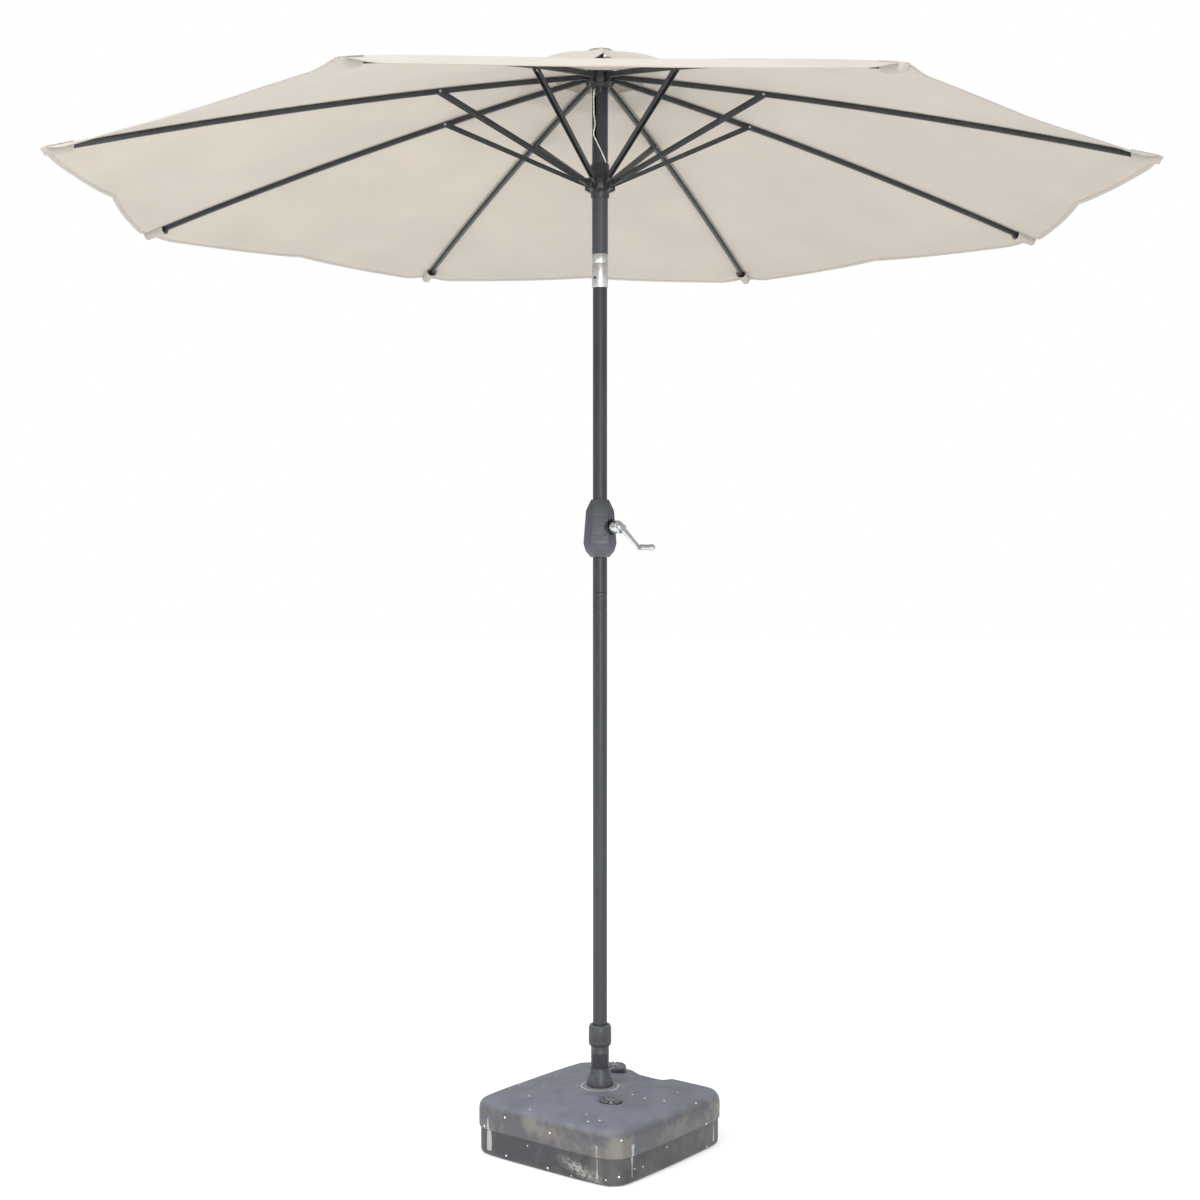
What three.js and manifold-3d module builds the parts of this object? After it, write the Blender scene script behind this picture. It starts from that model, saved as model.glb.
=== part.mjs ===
// Patio umbrella with a fillable base: an eight-rib market umbrella with a crank lift and a push-button tilt.
// Millimetres, +Z up. The origin is on the pole's axis, on the ground. The user's side is -Y.
import * as THREE from "three";
import { mergeVertices } from "three/addons/utils/BufferGeometryUtils.js";
import Module from "manifold-3d";

const wasm = await Module();
wasm.setup();

// ---------- driving dimensions ----------
const GAP = 0.35; // between pieces that touch
const RUN = 0.5; // radial clearance where a piece slides or turns

// Base tank
const TANK_SIDE = 456;
const TANK_CORNER = 48; // size of the broad chamfers at the corners
const TANK_YAW = 7; // degrees
const TANK_EDGE_H = 130;
const TANK_TOP_H = 149;
const TANK_SEAM_H = 65;
const TANK_STEP = 3; // the lower half is drawn in this much below the parting line
const TANK_EDGE_R = 24;
const TANK_FOOT_R = 12;
const TANK_WALL = 4;
const DOME_FLAT = 50; // half the side of the dome's level middle
const WELL_FLOOR = 34;
const WELL_WALL = 6;

// Filler caps in the tank's top
const FRONT_CAP_INSET = 121; // from half the tank's side
const FRONT_CAP_POS = [26, FRONT_CAP_INSET - TANK_SIDE / 2];
const FRONT_CAP_R = 25;
const FRONT_RECESS_DEPTH = 11;
const REAR_CAP_INSET = 70;
const REAR_CAP_POS = [38, TANK_SIDE / 2 - REAR_CAP_INSET];
const REAR_CAP_R = 28;
const REAR_CAP_H = 19;
const CAP_SHANK_R = 14;
const CAP_SHANK_L = 20;
const WATER_LEVEL = 92;

// Hand hold scooped into one side of the tank's top edge
const GRIP_LENGTH = 130;
const GRIP_DEPTH = 12;
const GRIP_REACH = 46;

// Poles
const LOWER_POLE_R = 17.3;
const UPPER_POLE_R = 19.15;
const POLE_WALL = 1.5;
const POLE_JOINT_BOTTOM = 1305;
const POLE_JOINT_TOP = 1343;
const SPIGOT_LENGTH = 100;

// Stem and clamp
const STEM_WALL = 4;
const STEM_R = LOWER_POLE_R + RUN + STEM_WALL;
const STEM_TOP = 262;
const COLLAR_FLARE = 11.2; // how far the collar's foot spreads from the stem
const COLLAR_TOP = 193;
const NUT_R = STEM_R + 6;
const NUT_BOTTOM = 247;
const NUT_TOP = 297;
const NUT_LIP = 12;
const NUT_RIDGES = 18;

// Tilt knuckle
const SOCKET_WALL = 1.85;
const KNUCKLE_R = LOWER_POLE_R + GAP + SOCKET_WALL;
const KNUCKLE_BOTTOM = 2080;
const KNUCKLE_TOP = 2161;
const TILT_Z = 2124;
const TONGUE_R = 13;
const TILT_RELIEF = 8; // depth of the slot behind the tilt pin, for the tongue's rear corner
const TONGUE_HALF_W = 11.5;
const TILT_PIN_R = 3;
const BUTTON_R = 3.4;
const BUTTON_Z = 2103;
const BUTTON_AZIMUTH = -130;
const BUTTON_L = 5;
const CORD_HOLE_Y = -7.5;
const CORD_HOLE_R = 2.6;

// Crank housing
const HOUSING_BOTTOM = 1428;
const HOUSING_TOP = 1567;
const HOUSING_SHOULDER = 1540;
const HOUSING_WIDE = 1461;
const HOUSING_WALL = 3;
const CRANK_Z = 1500;

// Crank: the arm turns in a plane square to CRANK_AZIMUTH. It clears the ribs with the canopy open or fully
// folded, but not over the last few degrees before it is folded.
const CRANK_AZIMUTH = -43;
const CRANK_ARM = 64;
const CRANK_REST = -50; // degrees below level
const BOSS_R = 16;
const BOSS_END = 64;
const ARM_INNER = 84;
const ARM_THICK = 8;
const ARM_WIDTH = 17;
const CRANK_GRIP_R = 8;
const CRANK_GRIP_L = 46;
const STUD_R = 3;
const SHAFT_R = 5;
const SPOOL_CORE_R = 11;
const SPOOL_FLANGE_R = 13;
const SPOOL_HALF = 7.5;

// Canopy frame
const RIBS = 8;
const RIB_YAW = 2; // degrees, turn of the whole canopy about the pole
const TIP_R = 1300;
const TIP_Z = 2287;
const CROWN_Z = 2588; // rib pivots
const PIVOT_OUT = 10.85; // rib pivots and strut pivots, out from the upper pole's face
const PIVOT_R = UPPER_POLE_R + PIVOT_OUT;
const RIB_BOW = 16;
const RIB_WIDTH = 8;
const RIB_DEPTH = 12;
const RIB_WALL = 1;
const RIB_HEEL = 22; // pivot to the start of the tube
const TONGUE_W = 6;
const TONGUE_DEPTH = 11;
const STRUT_AT = 0.3; // share of the rib's length
const RUNNER_Z = 2329; // strut pivots with the canopy open
const STRUT_SIDE_GAP = 0.5;
const STRUT_WALL = 1.1;
const STRUT_UP = 6;
const STRUT_DOWN = 5;
const STRUT_END_R = 7;
const WEB_CUT = 27;
const RIVET_R = 2;
const RIVET_HEAD_R = 3.6;
const RIVET_HEAD_H = 1.6;
const PIVOT_PIN_R = 2;
const RING_WIRE_R = 1.6;
const TIP_PLUG_L = 58;
const TIP_PLUG_IN = 22;
const TIP_SETBACK = 8; // the plug stops this short of the pocket's closed end

// Hub, runner and crown
const HUB_R = PIVOT_R + 6;
const HUB_BOTTOM = 2564;
const HUB_LOBE_BOTTOM = 2572;
const HUB_LOBE_TOP = 2604;
const HUB_POST_R = 9;
const HUB_POST_TOP = 2650;
const HUB_SLEEVE_WALL = 3;
const RUNNER_BOTTOM = 2298;
const RUNNER_TOP = 2378;
const RUNNER_FLANGE_R = PIVOT_R + 7;
const RUNNER_FLANGE_HALF = 13;
const RUNNER_WALL = 2.5;
const CROWN_CAP_R = 30;
const CROWN_CAP_TOP = 2664;

// Lift cord and its pulley
const CORD_R = 1.5;
const PULLEY_GROOVE_R = 7.26;
const PULLEY_RIM_R = 9.5;
const CORD_OFF_POLE = 1;
const WRAP_GAP = 0.6;
const PULLEY_HALF = 3;
const PULLEY_Z = 2551;
const PULLEY_AXLE_R = 2;
const SLOT_AZIMUTH = -133;
const SLOT_BOTTOM = 2438;
const SLOT_WIDTH = 9;

// Canopy cloth
const CLOTH = 1;
const CLOTH_OVER_RIB = 2.4;
const VENT_START = 0.067; // vent opening, as a share of the rib's length
const SCALLOP = 32;
const HEM_DROOP = 10; // extra sag of the loose hem between two ribs
const HEM_DROOP_START = 0.8; // share of the rib's length where that sag begins
const VENT_CAP_REACH = 222;
const VENT_CAP_LIFT = 6; // over the main cloth at the ribs
const VENT_MID_LIFT = 34; // over the main cloth between the ribs
const VENT_INNER_R = 24;
const VENT_TOP_Z = 2650;
const VENT_PUFF = 1.8;
const SEAM_HALF = 5;

// ---------- helpers ----------
const rad = THREE.MathUtils.degToRad;
const vec = (x, y, z) => new THREE.Vector3(x, y, z);
const atAzimuth = (degrees, r, z) => vec(r * Math.cos(rad(degrees)), r * Math.sin(rad(degrees)), z);

function solid(geometry) {
  const bare = geometry.clone();
  bare.deleteAttribute("normal");
  bare.deleteAttribute("uv");
  const merged = mergeVertices(bare, 1e-4);
  const vertProperties = new Float32Array(merged.attributes.position.array);
  const triVerts = new Uint32Array(merged.index.array);
  return new wasm.Manifold(new wasm.Mesh({ numProp: 3, vertProperties, triVerts }));
}

function geometryOf(manifold) {
  const mesh = manifold.getMesh();
  const geometry = new THREE.BufferGeometry();
  geometry.setAttribute("position", new THREE.BufferAttribute(mesh.vertProperties, 3));
  geometry.setIndex(new THREE.BufferAttribute(mesh.triVerts, 1));
  return geometry;
}

const join = (first, ...rest) => rest.reduce((sum, piece) => sum.add(piece), first);
const cut = (first, ...rest) => rest.reduce((left, piece) => left.subtract(piece), first);

// A turned solid about Z from [radius, z] points. The profile is closed.
function turned(points, segments = 24) {
  const closed = [...points, points[0]].map(([r, z]) => new THREE.Vector2(r, z));
  return new THREE.LatheGeometry(closed, segments).rotateX(Math.PI / 2);
}

const rod = (r, z0, z1, segments = 24) => turned([[0, z0], [r, z0], [r, z1], [0, z1]], segments);
const tube = (r, inner, z0, z1, segments = 24) =>
  turned([[inner, z0], [r, z0], [r, z1], [inner, z1]], segments);

// A rod lying along a level direction: it runs from a to b along that azimuth, at height z.
const levelRod = (r, a, b, azimuth, z, segments = 16) =>
  rod(r, a, b, segments).rotateY(Math.PI / 2).rotateZ(rad(azimuth)).translate(0, 0, z);

const block = (x0, x1, y0, y1, z0, z1) =>
  new THREE.BoxGeometry(x1 - x0, y1 - y0, z1 - z0).translate((x0 + x1) / 2, (y0 + y1) / 2, (z0 + z1) / 2);

// An outline drawn in the X-Z plane, as wide as width, centred on Y = 0.
function sideCut(shape, width, curveSegments = 5) {
  const geometry = new THREE.ExtrudeGeometry(shape, { depth: width, bevelEnabled: false, curveSegments });
  return geometry.rotateX(Math.PI / 2).translate(0, width / 2, 0);
}

// A closed solid through rings of points that all turn the same way, the first ring the lowest.
function loft(rings) {
  const count = rings[0].length;
  const positions = [];
  const quad = (a, b, c, d) => positions.push(a, b, c, a, c, d);
  rings.slice(1).forEach((ring, i) => {
    const below = rings[i];
    for (let j = 0; j < count; j += 1) {
      const next = (j + 1) % count;
      quad(below[j], below[next], ring[next], ring[j]);
    }
  });
  const middle = (ring) => ring.reduce((sum, p) => sum.add(p), vec(0, 0, 0)).divideScalar(count);
  const [first, last] = [rings[0], rings[rings.length - 1]];
  const [low, high] = [middle(first), middle(last)];
  for (let j = 0; j < count; j += 1) {
    const next = (j + 1) % count;
    positions.push(low, first[next], first[j], high, last[j], last[next]);
  }
  return new THREE.BufferGeometry().setFromPoints(positions);
}

// A closed skin over a grid of points, its thickness downwards. The grid's rows and columns turn anticlockwise
// seen from above.
function skin(grid, thickness) {
  const under = grid.map((row) => row.map((p) => vec(p.x, p.y, p.z - thickness)));
  const positions = [];
  const quad = (a, b, c, d) => positions.push(a, b, c, a, c, d);
  const rows = grid.length - 1;
  const columns = grid[0].length - 1;
  for (let i = 0; i < rows; i += 1) {
    for (let j = 0; j < columns; j += 1) {
      quad(grid[i][j], grid[i + 1][j], grid[i + 1][j + 1], grid[i][j + 1]);
      quad(under[i][j], under[i][j + 1], under[i + 1][j + 1], under[i + 1][j]);
    }
    quad(grid[i][0], under[i][0], under[i + 1][0], grid[i + 1][0]);
    quad(grid[i + 1][columns], under[i + 1][columns], under[i][columns], grid[i][columns]);
  }
  for (let j = 0; j < columns; j += 1) {
    quad(grid[0][j + 1], under[0][j + 1], under[0][j], grid[0][j]);
    quad(grid[rows][j], under[rows][j], under[rows][j + 1], grid[rows][j + 1]);
  }
  return new THREE.BufferGeometry().setFromPoints(positions);
}

// ---------- materials ----------
const finish = (color, roughness, metalness) => new THREE.MeshStandardMaterial({ color, roughness, metalness });
const MATERIALS = {
  tankPlastic: () => finish(0x5c6068, 0.7, 0),
  stemPlastic: () => finish(0x3c3e42, 0.55, 0),
  capPlastic: () => finish(0x2c2c30, 0.5, 0),
  crownPlastic: () => finish(0xd9d4cb, 0.5, 0),
  water: () => finish(0x9fb4bd, 0.2, 0),
  poleSteel: () => finish(0x45464c, 0.45, 0.3),
  ribSteel: () => finish(0x35373b, 0.5, 0.3),
  castAluminium: () => finish(0xc4c6c8, 0.3, 1),
  chrome: () => finish(0xd5d7d9, 0.12, 1),
  housingPlastic: () => finish(0x50535a, 0.5, 0),
  hubPlastic: () => finish(0x2b2d31, 0.5, 0),
  springSteel: () => finish(0x9a9c9e, 0.35, 1),
  cloth: () => finish(0xcfc3b6, 0.9, 0),
  cord: () => finish(0xe4e2dc, 0.8, 0),
};

const umbrella = new THREE.Group();

function add(name, material, geometry, parent = umbrella) {
  const mesh = new THREE.Mesh(geometry, MATERIALS[material]());
  mesh.name = name;
  parent.add(mesh);
  return mesh;
}

// ---------- base tank ----------
// A square with a broad soft chamfer at each corner, turned by the tank's yaw. The steps go round one corner,
// back from its point along either side, as shares of the chamfer's size.
const CORNER_STEPS = [[0, 1.3], [0.1, 0.85], [0.85, 0.1], [1.3, 0]];
function softSquare(side, corner, z) {
  const ring = [];
  for (let turn = 0; turn < 4; turn += 1) {
    for (const [backX, backY] of CORNER_STEPS) {
      const p = vec(side / 2 - corner * backX, side / 2 - corner * backY, z);
      ring.push(p.applyAxisAngle(vec(0, 0, 1), rad(90 * turn + 45 + TANK_YAW)));
    }
  }
  return ring;
}

// The tank's outer form, drawn in by inset on every side: a chamfered square box with a low dome on top.
const CHAMFER_SHRINK = 2 - Math.SQRT2;
const OCTAGON_CORNER = 1 - Math.tan(Math.PI / 8);
function tankForm(inset) {
  const side = TANK_SIDE - 2 * inset;
  const corner = TANK_CORNER - CHAMFER_SHRINK * inset;
  const [edge, foot, step] = [TANK_EDGE_R, TANK_FOOT_R, TANK_STEP];
  const ring = (shrink, z) => softSquare(side - 2 * shrink, corner - CHAMFER_SHRINK * shrink, z);
  const low = inset;
  const rings = [ring(step + foot, low), ring(step + foot * 0.3, low + foot * 0.3), ring(step, low + foot)];
  rings.push(ring(step, TANK_SEAM_H - 1), ring(0, TANK_SEAM_H + 1));
  const high = TANK_EDGE_H - inset;
  rings.push(ring(0, high - edge), ring(edge * 0.3, high - edge * 0.3), ring(edge, high));
  const start = side / 2 - edge;
  const startCorner = corner - CHAMFER_SHRINK * edge;
  for (const share of [0.35, 0.7, 1]) {
    const half = start + (DOME_FLAT - start) * share;
    const rise = (TANK_TOP_H - TANK_EDGE_H) * Math.sin((Math.PI / 2) * share);
    rings.push(softSquare(2 * half, startCorner + (half * OCTAGON_CORNER - startCorner) * share, high + rise));
  }
  return solid(loft(rings));
}

const wellR = STEM_R + GAP;
const capHole = CAP_SHANK_R + GAP;
const domeAt = (x, y) => {
  const start = TANK_SIDE / 2 - TANK_EDGE_R;
  const p = vec(x, y, 0).applyAxisAngle(vec(0, 0, 1), -rad(45 + TANK_YAW));
  const out = Math.max(Math.abs(p.x), Math.abs(p.y));
  const reach = THREE.MathUtils.clamp((start - out) / (start - DOME_FLAT), 0, 1);
  return TANK_EDGE_H + (TANK_TOP_H - TANK_EDGE_H) * Math.sin((Math.PI / 2) * reach);
};
const frontSeat = domeAt(...FRONT_CAP_POS) - FRONT_RECESS_DEPTH;
const rearSeat = domeAt(...REAR_CAP_POS) - 4;
const column = solid(rod(wellR + WELL_WALL, 0, TANK_TOP_H, 32));
const capBoss = ([x, y], r, top) => solid(rod(r, top - 8, top + 30, 24).translate(x, y, 0));
const frontBoss = capBoss(FRONT_CAP_POS, FRONT_CAP_R + 9, frontSeat);
const rearBoss = capBoss(REAR_CAP_POS, REAR_CAP_R + 6, rearSeat);
const hollow = cut(tankForm(TANK_WALL), column, frontBoss, rearBoss);
const sideAngle = TANK_YAW + 45;
const gripArcR = GRIP_LENGTH ** 2 / (8 * GRIP_DEPTH) + GRIP_DEPTH / 2;
const gripScoop = solid(
  levelRod(gripArcR, TANK_SIDE / 2 - GRIP_REACH, TANK_SIDE, sideAngle, TANK_EDGE_H - GRIP_DEPTH + gripArcR, 48),
);
const gripRoom = solid(
  levelRod(gripArcR + TANK_WALL, TANK_SIDE / 2 - GRIP_REACH - TANK_WALL, TANK_SIDE, sideAngle,
    TANK_EDGE_H - GRIP_DEPTH + gripArcR, 48),
);
const frontRecess = solid(rod(FRONT_CAP_R + 5, frontSeat, frontSeat + 40, 24).translate(...FRONT_CAP_POS, 0));
const rearRecess = solid(rod(REAR_CAP_R + 2, rearSeat, rearSeat + 40, 24).translate(...REAR_CAP_POS, 0));
const frontHole = solid(rod(capHole, frontSeat - 30, frontSeat + 5, 24).translate(...FRONT_CAP_POS, 0));
const rearHole = solid(rod(capHole, rearSeat - 30, rearSeat + 5, 24).translate(...REAR_CAP_POS, 0));
const well = solid(rod(wellR, WELL_FLOOR, TANK_TOP_H + 10, 32));
const tank = cut(
  tankForm(0), gripScoop, cut(hollow, gripRoom), frontRecess, rearRecess, frontHole, rearHole, well,
);
add("base_tank", "tankPlastic", geometryOf(tank));

// The water that weighs the base down, standing below the caps.
const waterRoom = tankForm(TANK_WALL + GAP);
const waterTop = solid(block(-TANK_SIDE, TANK_SIDE, -TANK_SIDE, TANK_SIDE, WATER_LEVEL, TANK_TOP_H * 2));
const waterColumn = solid(rod(wellR + WELL_WALL + GAP, 0, TANK_TOP_H, 32));
const waterGrip = solid(
  levelRod(gripArcR + TANK_WALL + GAP, TANK_SIDE / 2 - GRIP_REACH - TANK_WALL - GAP, TANK_SIDE, sideAngle,
    TANK_EDGE_H - GRIP_DEPTH + gripArcR, 48),
);
add("water_ballast", "water", geometryOf(cut(waterRoom, waterTop, waterColumn, waterGrip)));

// ---------- filler caps ----------
// A screw cap: a ridged head over a plain shank. The head's ridges are cut by small radial grooves.
function fillerCap([x, y], seat, headR, headH, grooves, grooveDepth) {
  const bottom = seat + GAP;
  const chamfer = headH * 0.25;
  const head = solid(turned([
    [0, bottom], [headR, bottom], [headR, bottom + headH - chamfer],
    [headR - chamfer, bottom + headH], [0, bottom + headH],
  ], 20));
  const shank = solid(rod(CAP_SHANK_R, bottom - CAP_SHANK_L, bottom + 1, 16));
  const cuts = [];
  for (let i = 0; i < grooves; i += 1) {
    const groove = block(headR * 0.45, headR * 2, -2, 2, bottom + headH - grooveDepth, bottom + headH + 5);
    cuts.push(solid(groove.rotateZ((2 * Math.PI * i) / grooves)));
  }
  return geometryOf(cut(join(head, shank), ...cuts)).translate(x, y, 0);
}
add("front_filler_cap", "capPlastic", fillerCap(FRONT_CAP_POS, frontSeat, FRONT_CAP_R, 9, 10, 5));
add("rear_filler_cap", "capPlastic", fillerCap(REAR_CAP_POS, rearSeat, REAR_CAP_R, REAR_CAP_H, 12, 3));

// ---------- stem, collet and lock nut ----------
const poleBore = LOWER_POLE_R + RUN;
const stemFloor = WELL_FLOOR + GAP;
add("stem_tube", "stemPlastic", turned([
  [0, stemFloor], [STEM_R, stemFloor], [STEM_R, STEM_TOP], [poleBore, STEM_TOP],
  [poleBore, stemFloor + 10], [0, stemFloor + 10],
]));
const collarFoot = TANK_TOP_H + GAP;
const collarFootR = STEM_R + COLLAR_FLARE;
add("stem_collar", "tankPlastic", turned([
  [wellR, collarFoot], [collarFootR, collarFoot], [collarFootR, collarFoot + 7],
  [wellR + 2, COLLAR_TOP], [wellR, COLLAR_TOP],
]));
const colletTop = NUT_TOP - NUT_LIP - GAP;
const colletRing = solid(tube(STEM_R, poleBore - 0.2, STEM_TOP + GAP, colletTop));
const colletSplit = solid(block(0, STEM_R * 2, -1.5, 1.5, STEM_TOP, NUT_TOP));
add("grip_collet", "capPlastic", geometryOf(cut(colletRing, colletSplit)));
const nutRing = solid(turned([
  [wellR + 0.2, NUT_BOTTOM], [NUT_R - 2, NUT_BOTTOM], [NUT_R, NUT_BOTTOM + 4], [NUT_R, NUT_TOP - 6],
  [NUT_R - 3, NUT_TOP], [poleBore + 0.5, NUT_TOP], [poleBore + 0.5, NUT_TOP - NUT_LIP],
  [wellR + 0.2, NUT_TOP - NUT_LIP],
], 36));
const nutGrooves = [];
for (let i = 0; i < NUT_RIDGES; i += 1) {
  const groove = block(NUT_R - 1.2, NUT_R + 4, -1.6, 1.6, NUT_BOTTOM + 6, NUT_TOP - 14);
  nutGrooves.push(solid(groove.rotateZ((2 * Math.PI * i) / NUT_RIDGES)));
}
add("lock_nut", "stemPlastic", geometryOf(cut(nutRing, ...nutGrooves)));

// ---------- lower pole, joiner and crank pole ----------
const poleInner = LOWER_POLE_R - POLE_WALL;
const poleFoot = stemFloor + 10 + GAP;
add("lower_pole", "poleSteel", tube(LOWER_POLE_R, poleInner, poleFoot, POLE_JOINT_BOTTOM - GAP));
const spigotR = poleInner - GAP;
add("pole_joiner", "poleSteel", turned([
  [spigotR - POLE_WALL, POLE_JOINT_BOTTOM - SPIGOT_LENGTH], [spigotR, POLE_JOINT_BOTTOM - SPIGOT_LENGTH],
  [spigotR, POLE_JOINT_BOTTOM], [LOWER_POLE_R, POLE_JOINT_BOTTOM], [LOWER_POLE_R, POLE_JOINT_TOP],
  [spigotR, POLE_JOINT_TOP], [spigotR, POLE_JOINT_TOP + 60], [spigotR - POLE_WALL, POLE_JOINT_TOP + 60],
]));
const SOCKET_TOP = 2094;
const shaftHole = solid(levelRod(SHAFT_R + RUN, -40, 40, CRANK_AZIMUTH, CRANK_Z));
const crankPole = solid(tube(LOWER_POLE_R, poleInner, POLE_JOINT_TOP + GAP, SOCKET_TOP - GAP));
add("crank_pole", "poleSteel", geometryOf(cut(crankPole, shaftHole)));

// ---------- crank housing ----------
// An eight-sided ring: flat front and sides, with wide chamfers that carry the crank's boss.
function housingRing(half, z) {
  const flat = half * 0.515;
  const side = half * 0.43;
  const deep = half * 0.95;
  const corners = [
    [half, -side], [half, side], [flat, deep], [-flat, deep],
    [-half, side], [-half, -side], [-flat, -deep], [flat, -deep],
  ];
  return corners.map(([x, y]) => vec(x, y, z));
}

// Half the housing's width, out from the lower pole's face, at each level.
const housingForm = (inset) => {
  const half = (out) => LOWER_POLE_R + out - inset;
  return solid(loft([
    housingRing(half(5.7), HOUSING_BOTTOM + inset), housingRing(half(17.7), HOUSING_BOTTOM + 15),
    housingRing(half(22.7), HOUSING_WIDE), housingRing(half(16.7), HOUSING_SHOULDER),
    housingRing(half(4.2), HOUSING_TOP - inset),
  ]));
};
const housingShell = cut(
  housingForm(0),
  cut(housingForm(HOUSING_WALL), solid(rod(LOWER_POLE_R + 1, HOUSING_BOTTOM, HOUSING_BOTTOM + 12))),
  solid(rod(LOWER_POLE_R + GAP, HOUSING_BOTTOM - 10, HOUSING_TOP + 10)),
  solid(levelRod(BOSS_R + RUN, 20, 60, CRANK_AZIMUTH, CRANK_Z)),
);
const halfSpace = (y0, y1) => solid(block(-100, 100, y0, y1, HOUSING_BOTTOM - 50, HOUSING_TOP + 50));
const farSide = halfSpace(GAP / 2, 100);
const nearSide = halfSpace(-100, -GAP / 2);
add("crank_housing_front", "housingPlastic", geometryOf(housingShell.intersect(nearSide)));
add("crank_housing_back", "housingPlastic", geometryOf(housingShell.intersect(farSide)));

// ---------- crank: spool, boss and arm ----------
const spool = join(
  solid(rod(SHAFT_R, -24, 30, 24)),
  solid(rod(SPOOL_CORE_R, -SPOOL_HALF, SPOOL_HALF, 24)),
  solid(rod(SPOOL_FLANGE_R, -SPOOL_HALF - 1, -SPOOL_HALF + 0.5, 24)),
  solid(rod(SPOOL_FLANGE_R, SPOOL_HALF - 0.5, SPOOL_HALF + 1, 24)),
);
// Crank parts are drawn with Z along the crank's axis and X along the arm, then turned into place.
const crankFrame = new THREE.Group();
crankFrame.rotation.set(0, 0, rad(CRANK_AZIMUTH));
crankFrame.position.set(0, 0, CRANK_Z);
umbrella.add(crankFrame);
const crankTurn = new THREE.Group();
crankTurn.rotation.set(rad(CRANK_REST), 0, 0);
crankFrame.add(crankTurn);
const crankAxis = new THREE.Group();
crankAxis.matrixAutoUpdate = false;
crankAxis.matrix.makeBasis(vec(0, 1, 0), vec(0, 0, 1), vec(1, 0, 0));
crankTurn.add(crankAxis);
add("cord_spool", "springSteel", geometryOf(spool), crankAxis);

const armProfile = new THREE.Shape();
armProfile.moveTo(-BOSS_R * 0.8, BOSS_END);
armProfile.lineTo(10, BOSS_END);
armProfile.lineTo(30, ARM_INNER);
armProfile.lineTo(CRANK_ARM, ARM_INNER);
armProfile.lineTo(CRANK_ARM, ARM_INNER + ARM_THICK);
armProfile.lineTo(27, ARM_INNER + ARM_THICK);
armProfile.lineTo(6, BOSS_END + ARM_THICK + 2);
armProfile.lineTo(-BOSS_R * 0.8, BOSS_END + ARM_THICK + 2);
const boss = solid(turned([
  [0, 30 + GAP], [BOSS_R - 3, 30 + GAP], [BOSS_R - 3, 38], [BOSS_R, 41], [BOSS_R, BOSS_END - 2],
  [BOSS_R - 2, BOSS_END + 1], [BOSS_R - 3, BOSS_END + ARM_THICK], [0, BOSS_END + ARM_THICK],
], 24));
const armEye = solid(rod(CRANK_GRIP_R, ARM_INNER, ARM_INNER + ARM_THICK, 24).translate(CRANK_ARM, 0, 0));
const gripStart = ARM_INNER + ARM_THICK + GAP;
const gripStud = solid(rod(STUD_R, ARM_INNER, gripStart + CRANK_GRIP_L - 6, 16).translate(CRANK_ARM, 0, 0));
const crankArm = join(boss, solid(sideCut(armProfile, ARM_WIDTH)), armEye, gripStud);
add("crank_arm", "chrome", geometryOf(crankArm), crankAxis);
const grip = turned([
  [0, gripStart + CRANK_GRIP_L], [CRANK_GRIP_R * 0.6, gripStart + CRANK_GRIP_L],
  [CRANK_GRIP_R, gripStart + CRANK_GRIP_L - 5], [CRANK_GRIP_R * 0.85, gripStart + 20],
  [CRANK_GRIP_R, gripStart + 4], [CRANK_GRIP_R * 0.7, gripStart],
  [STUD_R + RUN, gripStart], [STUD_R + RUN, gripStart + CRANK_GRIP_L - 5.5],
  [0, gripStart + CRANK_GRIP_L - 5.5],
].reverse(), 24).translate(CRANK_ARM, 0, 0);
add("crank_grip", "chrome", grip, crankAxis);

// ---------- tilt knuckle ----------
const tongueSlotR = TONGUE_R + RUN;
const cheekInner = TONGUE_HALF_W + RUN;
const splitZ = TILT_Z + TONGUE_R + 1;
const cordHole = (z0, z1) => solid(rod(CORD_HOLE_R, z0, z1, 12).translate(0, CORD_HOLE_Y, 0));
const acrossX = (r, half, z) => rod(r, -half, half, 16).rotateY(Math.PI / 2).translate(0, 0, z);
const lowerBody = solid(rod(KNUCKLE_R, KNUCKLE_BOTTOM, splitZ - RUN));
const cheekTop = cut(
  solid(block(-40, 40, -KNUCKLE_R * 0.72, 40, TILT_Z, splitZ + 5)),
  solid(acrossX(TONGUE_R, 40, TILT_Z)),
);
const rearRelief = solid(block(-40, 40, TONGUE_R, 40, TILT_Z + 3, splitZ + 5));
const slot = join(
  solid(acrossX(tongueSlotR, cheekInner, TILT_Z)),
  solid(block(-cheekInner, cheekInner, -tongueSlotR, tongueSlotR, TILT_Z, splitZ + 5)),
  solid(block(-cheekInner, cheekInner, 0, 40, TILT_Z - TILT_RELIEF, splitZ + 5)),
);
const poleSocket = solid(rod(LOWER_POLE_R + GAP, KNUCKLE_BOTTOM - 5, SOCKET_TOP));
const pinHole = solid(acrossX(TILT_PIN_R + RUN, 40, TILT_Z));
const buttonInner = KNUCKLE_R - BUTTON_L - 6;
const buttonHole = solid(levelRod(BUTTON_R + RUN, buttonInner, 30, BUTTON_AZIMUTH, BUTTON_Z, 20));
add("tilt_knuckle_lower", "castAluminium", geometryOf(cut(
  lowerBody, cheekTop, rearRelief, slot, poleSocket, pinHole, buttonHole, cordHole(SOCKET_TOP - 5, TILT_Z),
)));
const UPPER_SPIGOT_TOP = KNUCKLE_TOP + 40;
const upperInner = UPPER_POLE_R - POLE_WALL;
const upperBody = solid(turned([
  [0, splitZ], [KNUCKLE_R, splitZ], [KNUCKLE_R, KNUCKLE_TOP], [upperInner - GAP, KNUCKLE_TOP],
  [upperInner - GAP, UPPER_SPIGOT_TOP], [0, UPPER_SPIGOT_TOP],
]));
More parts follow.
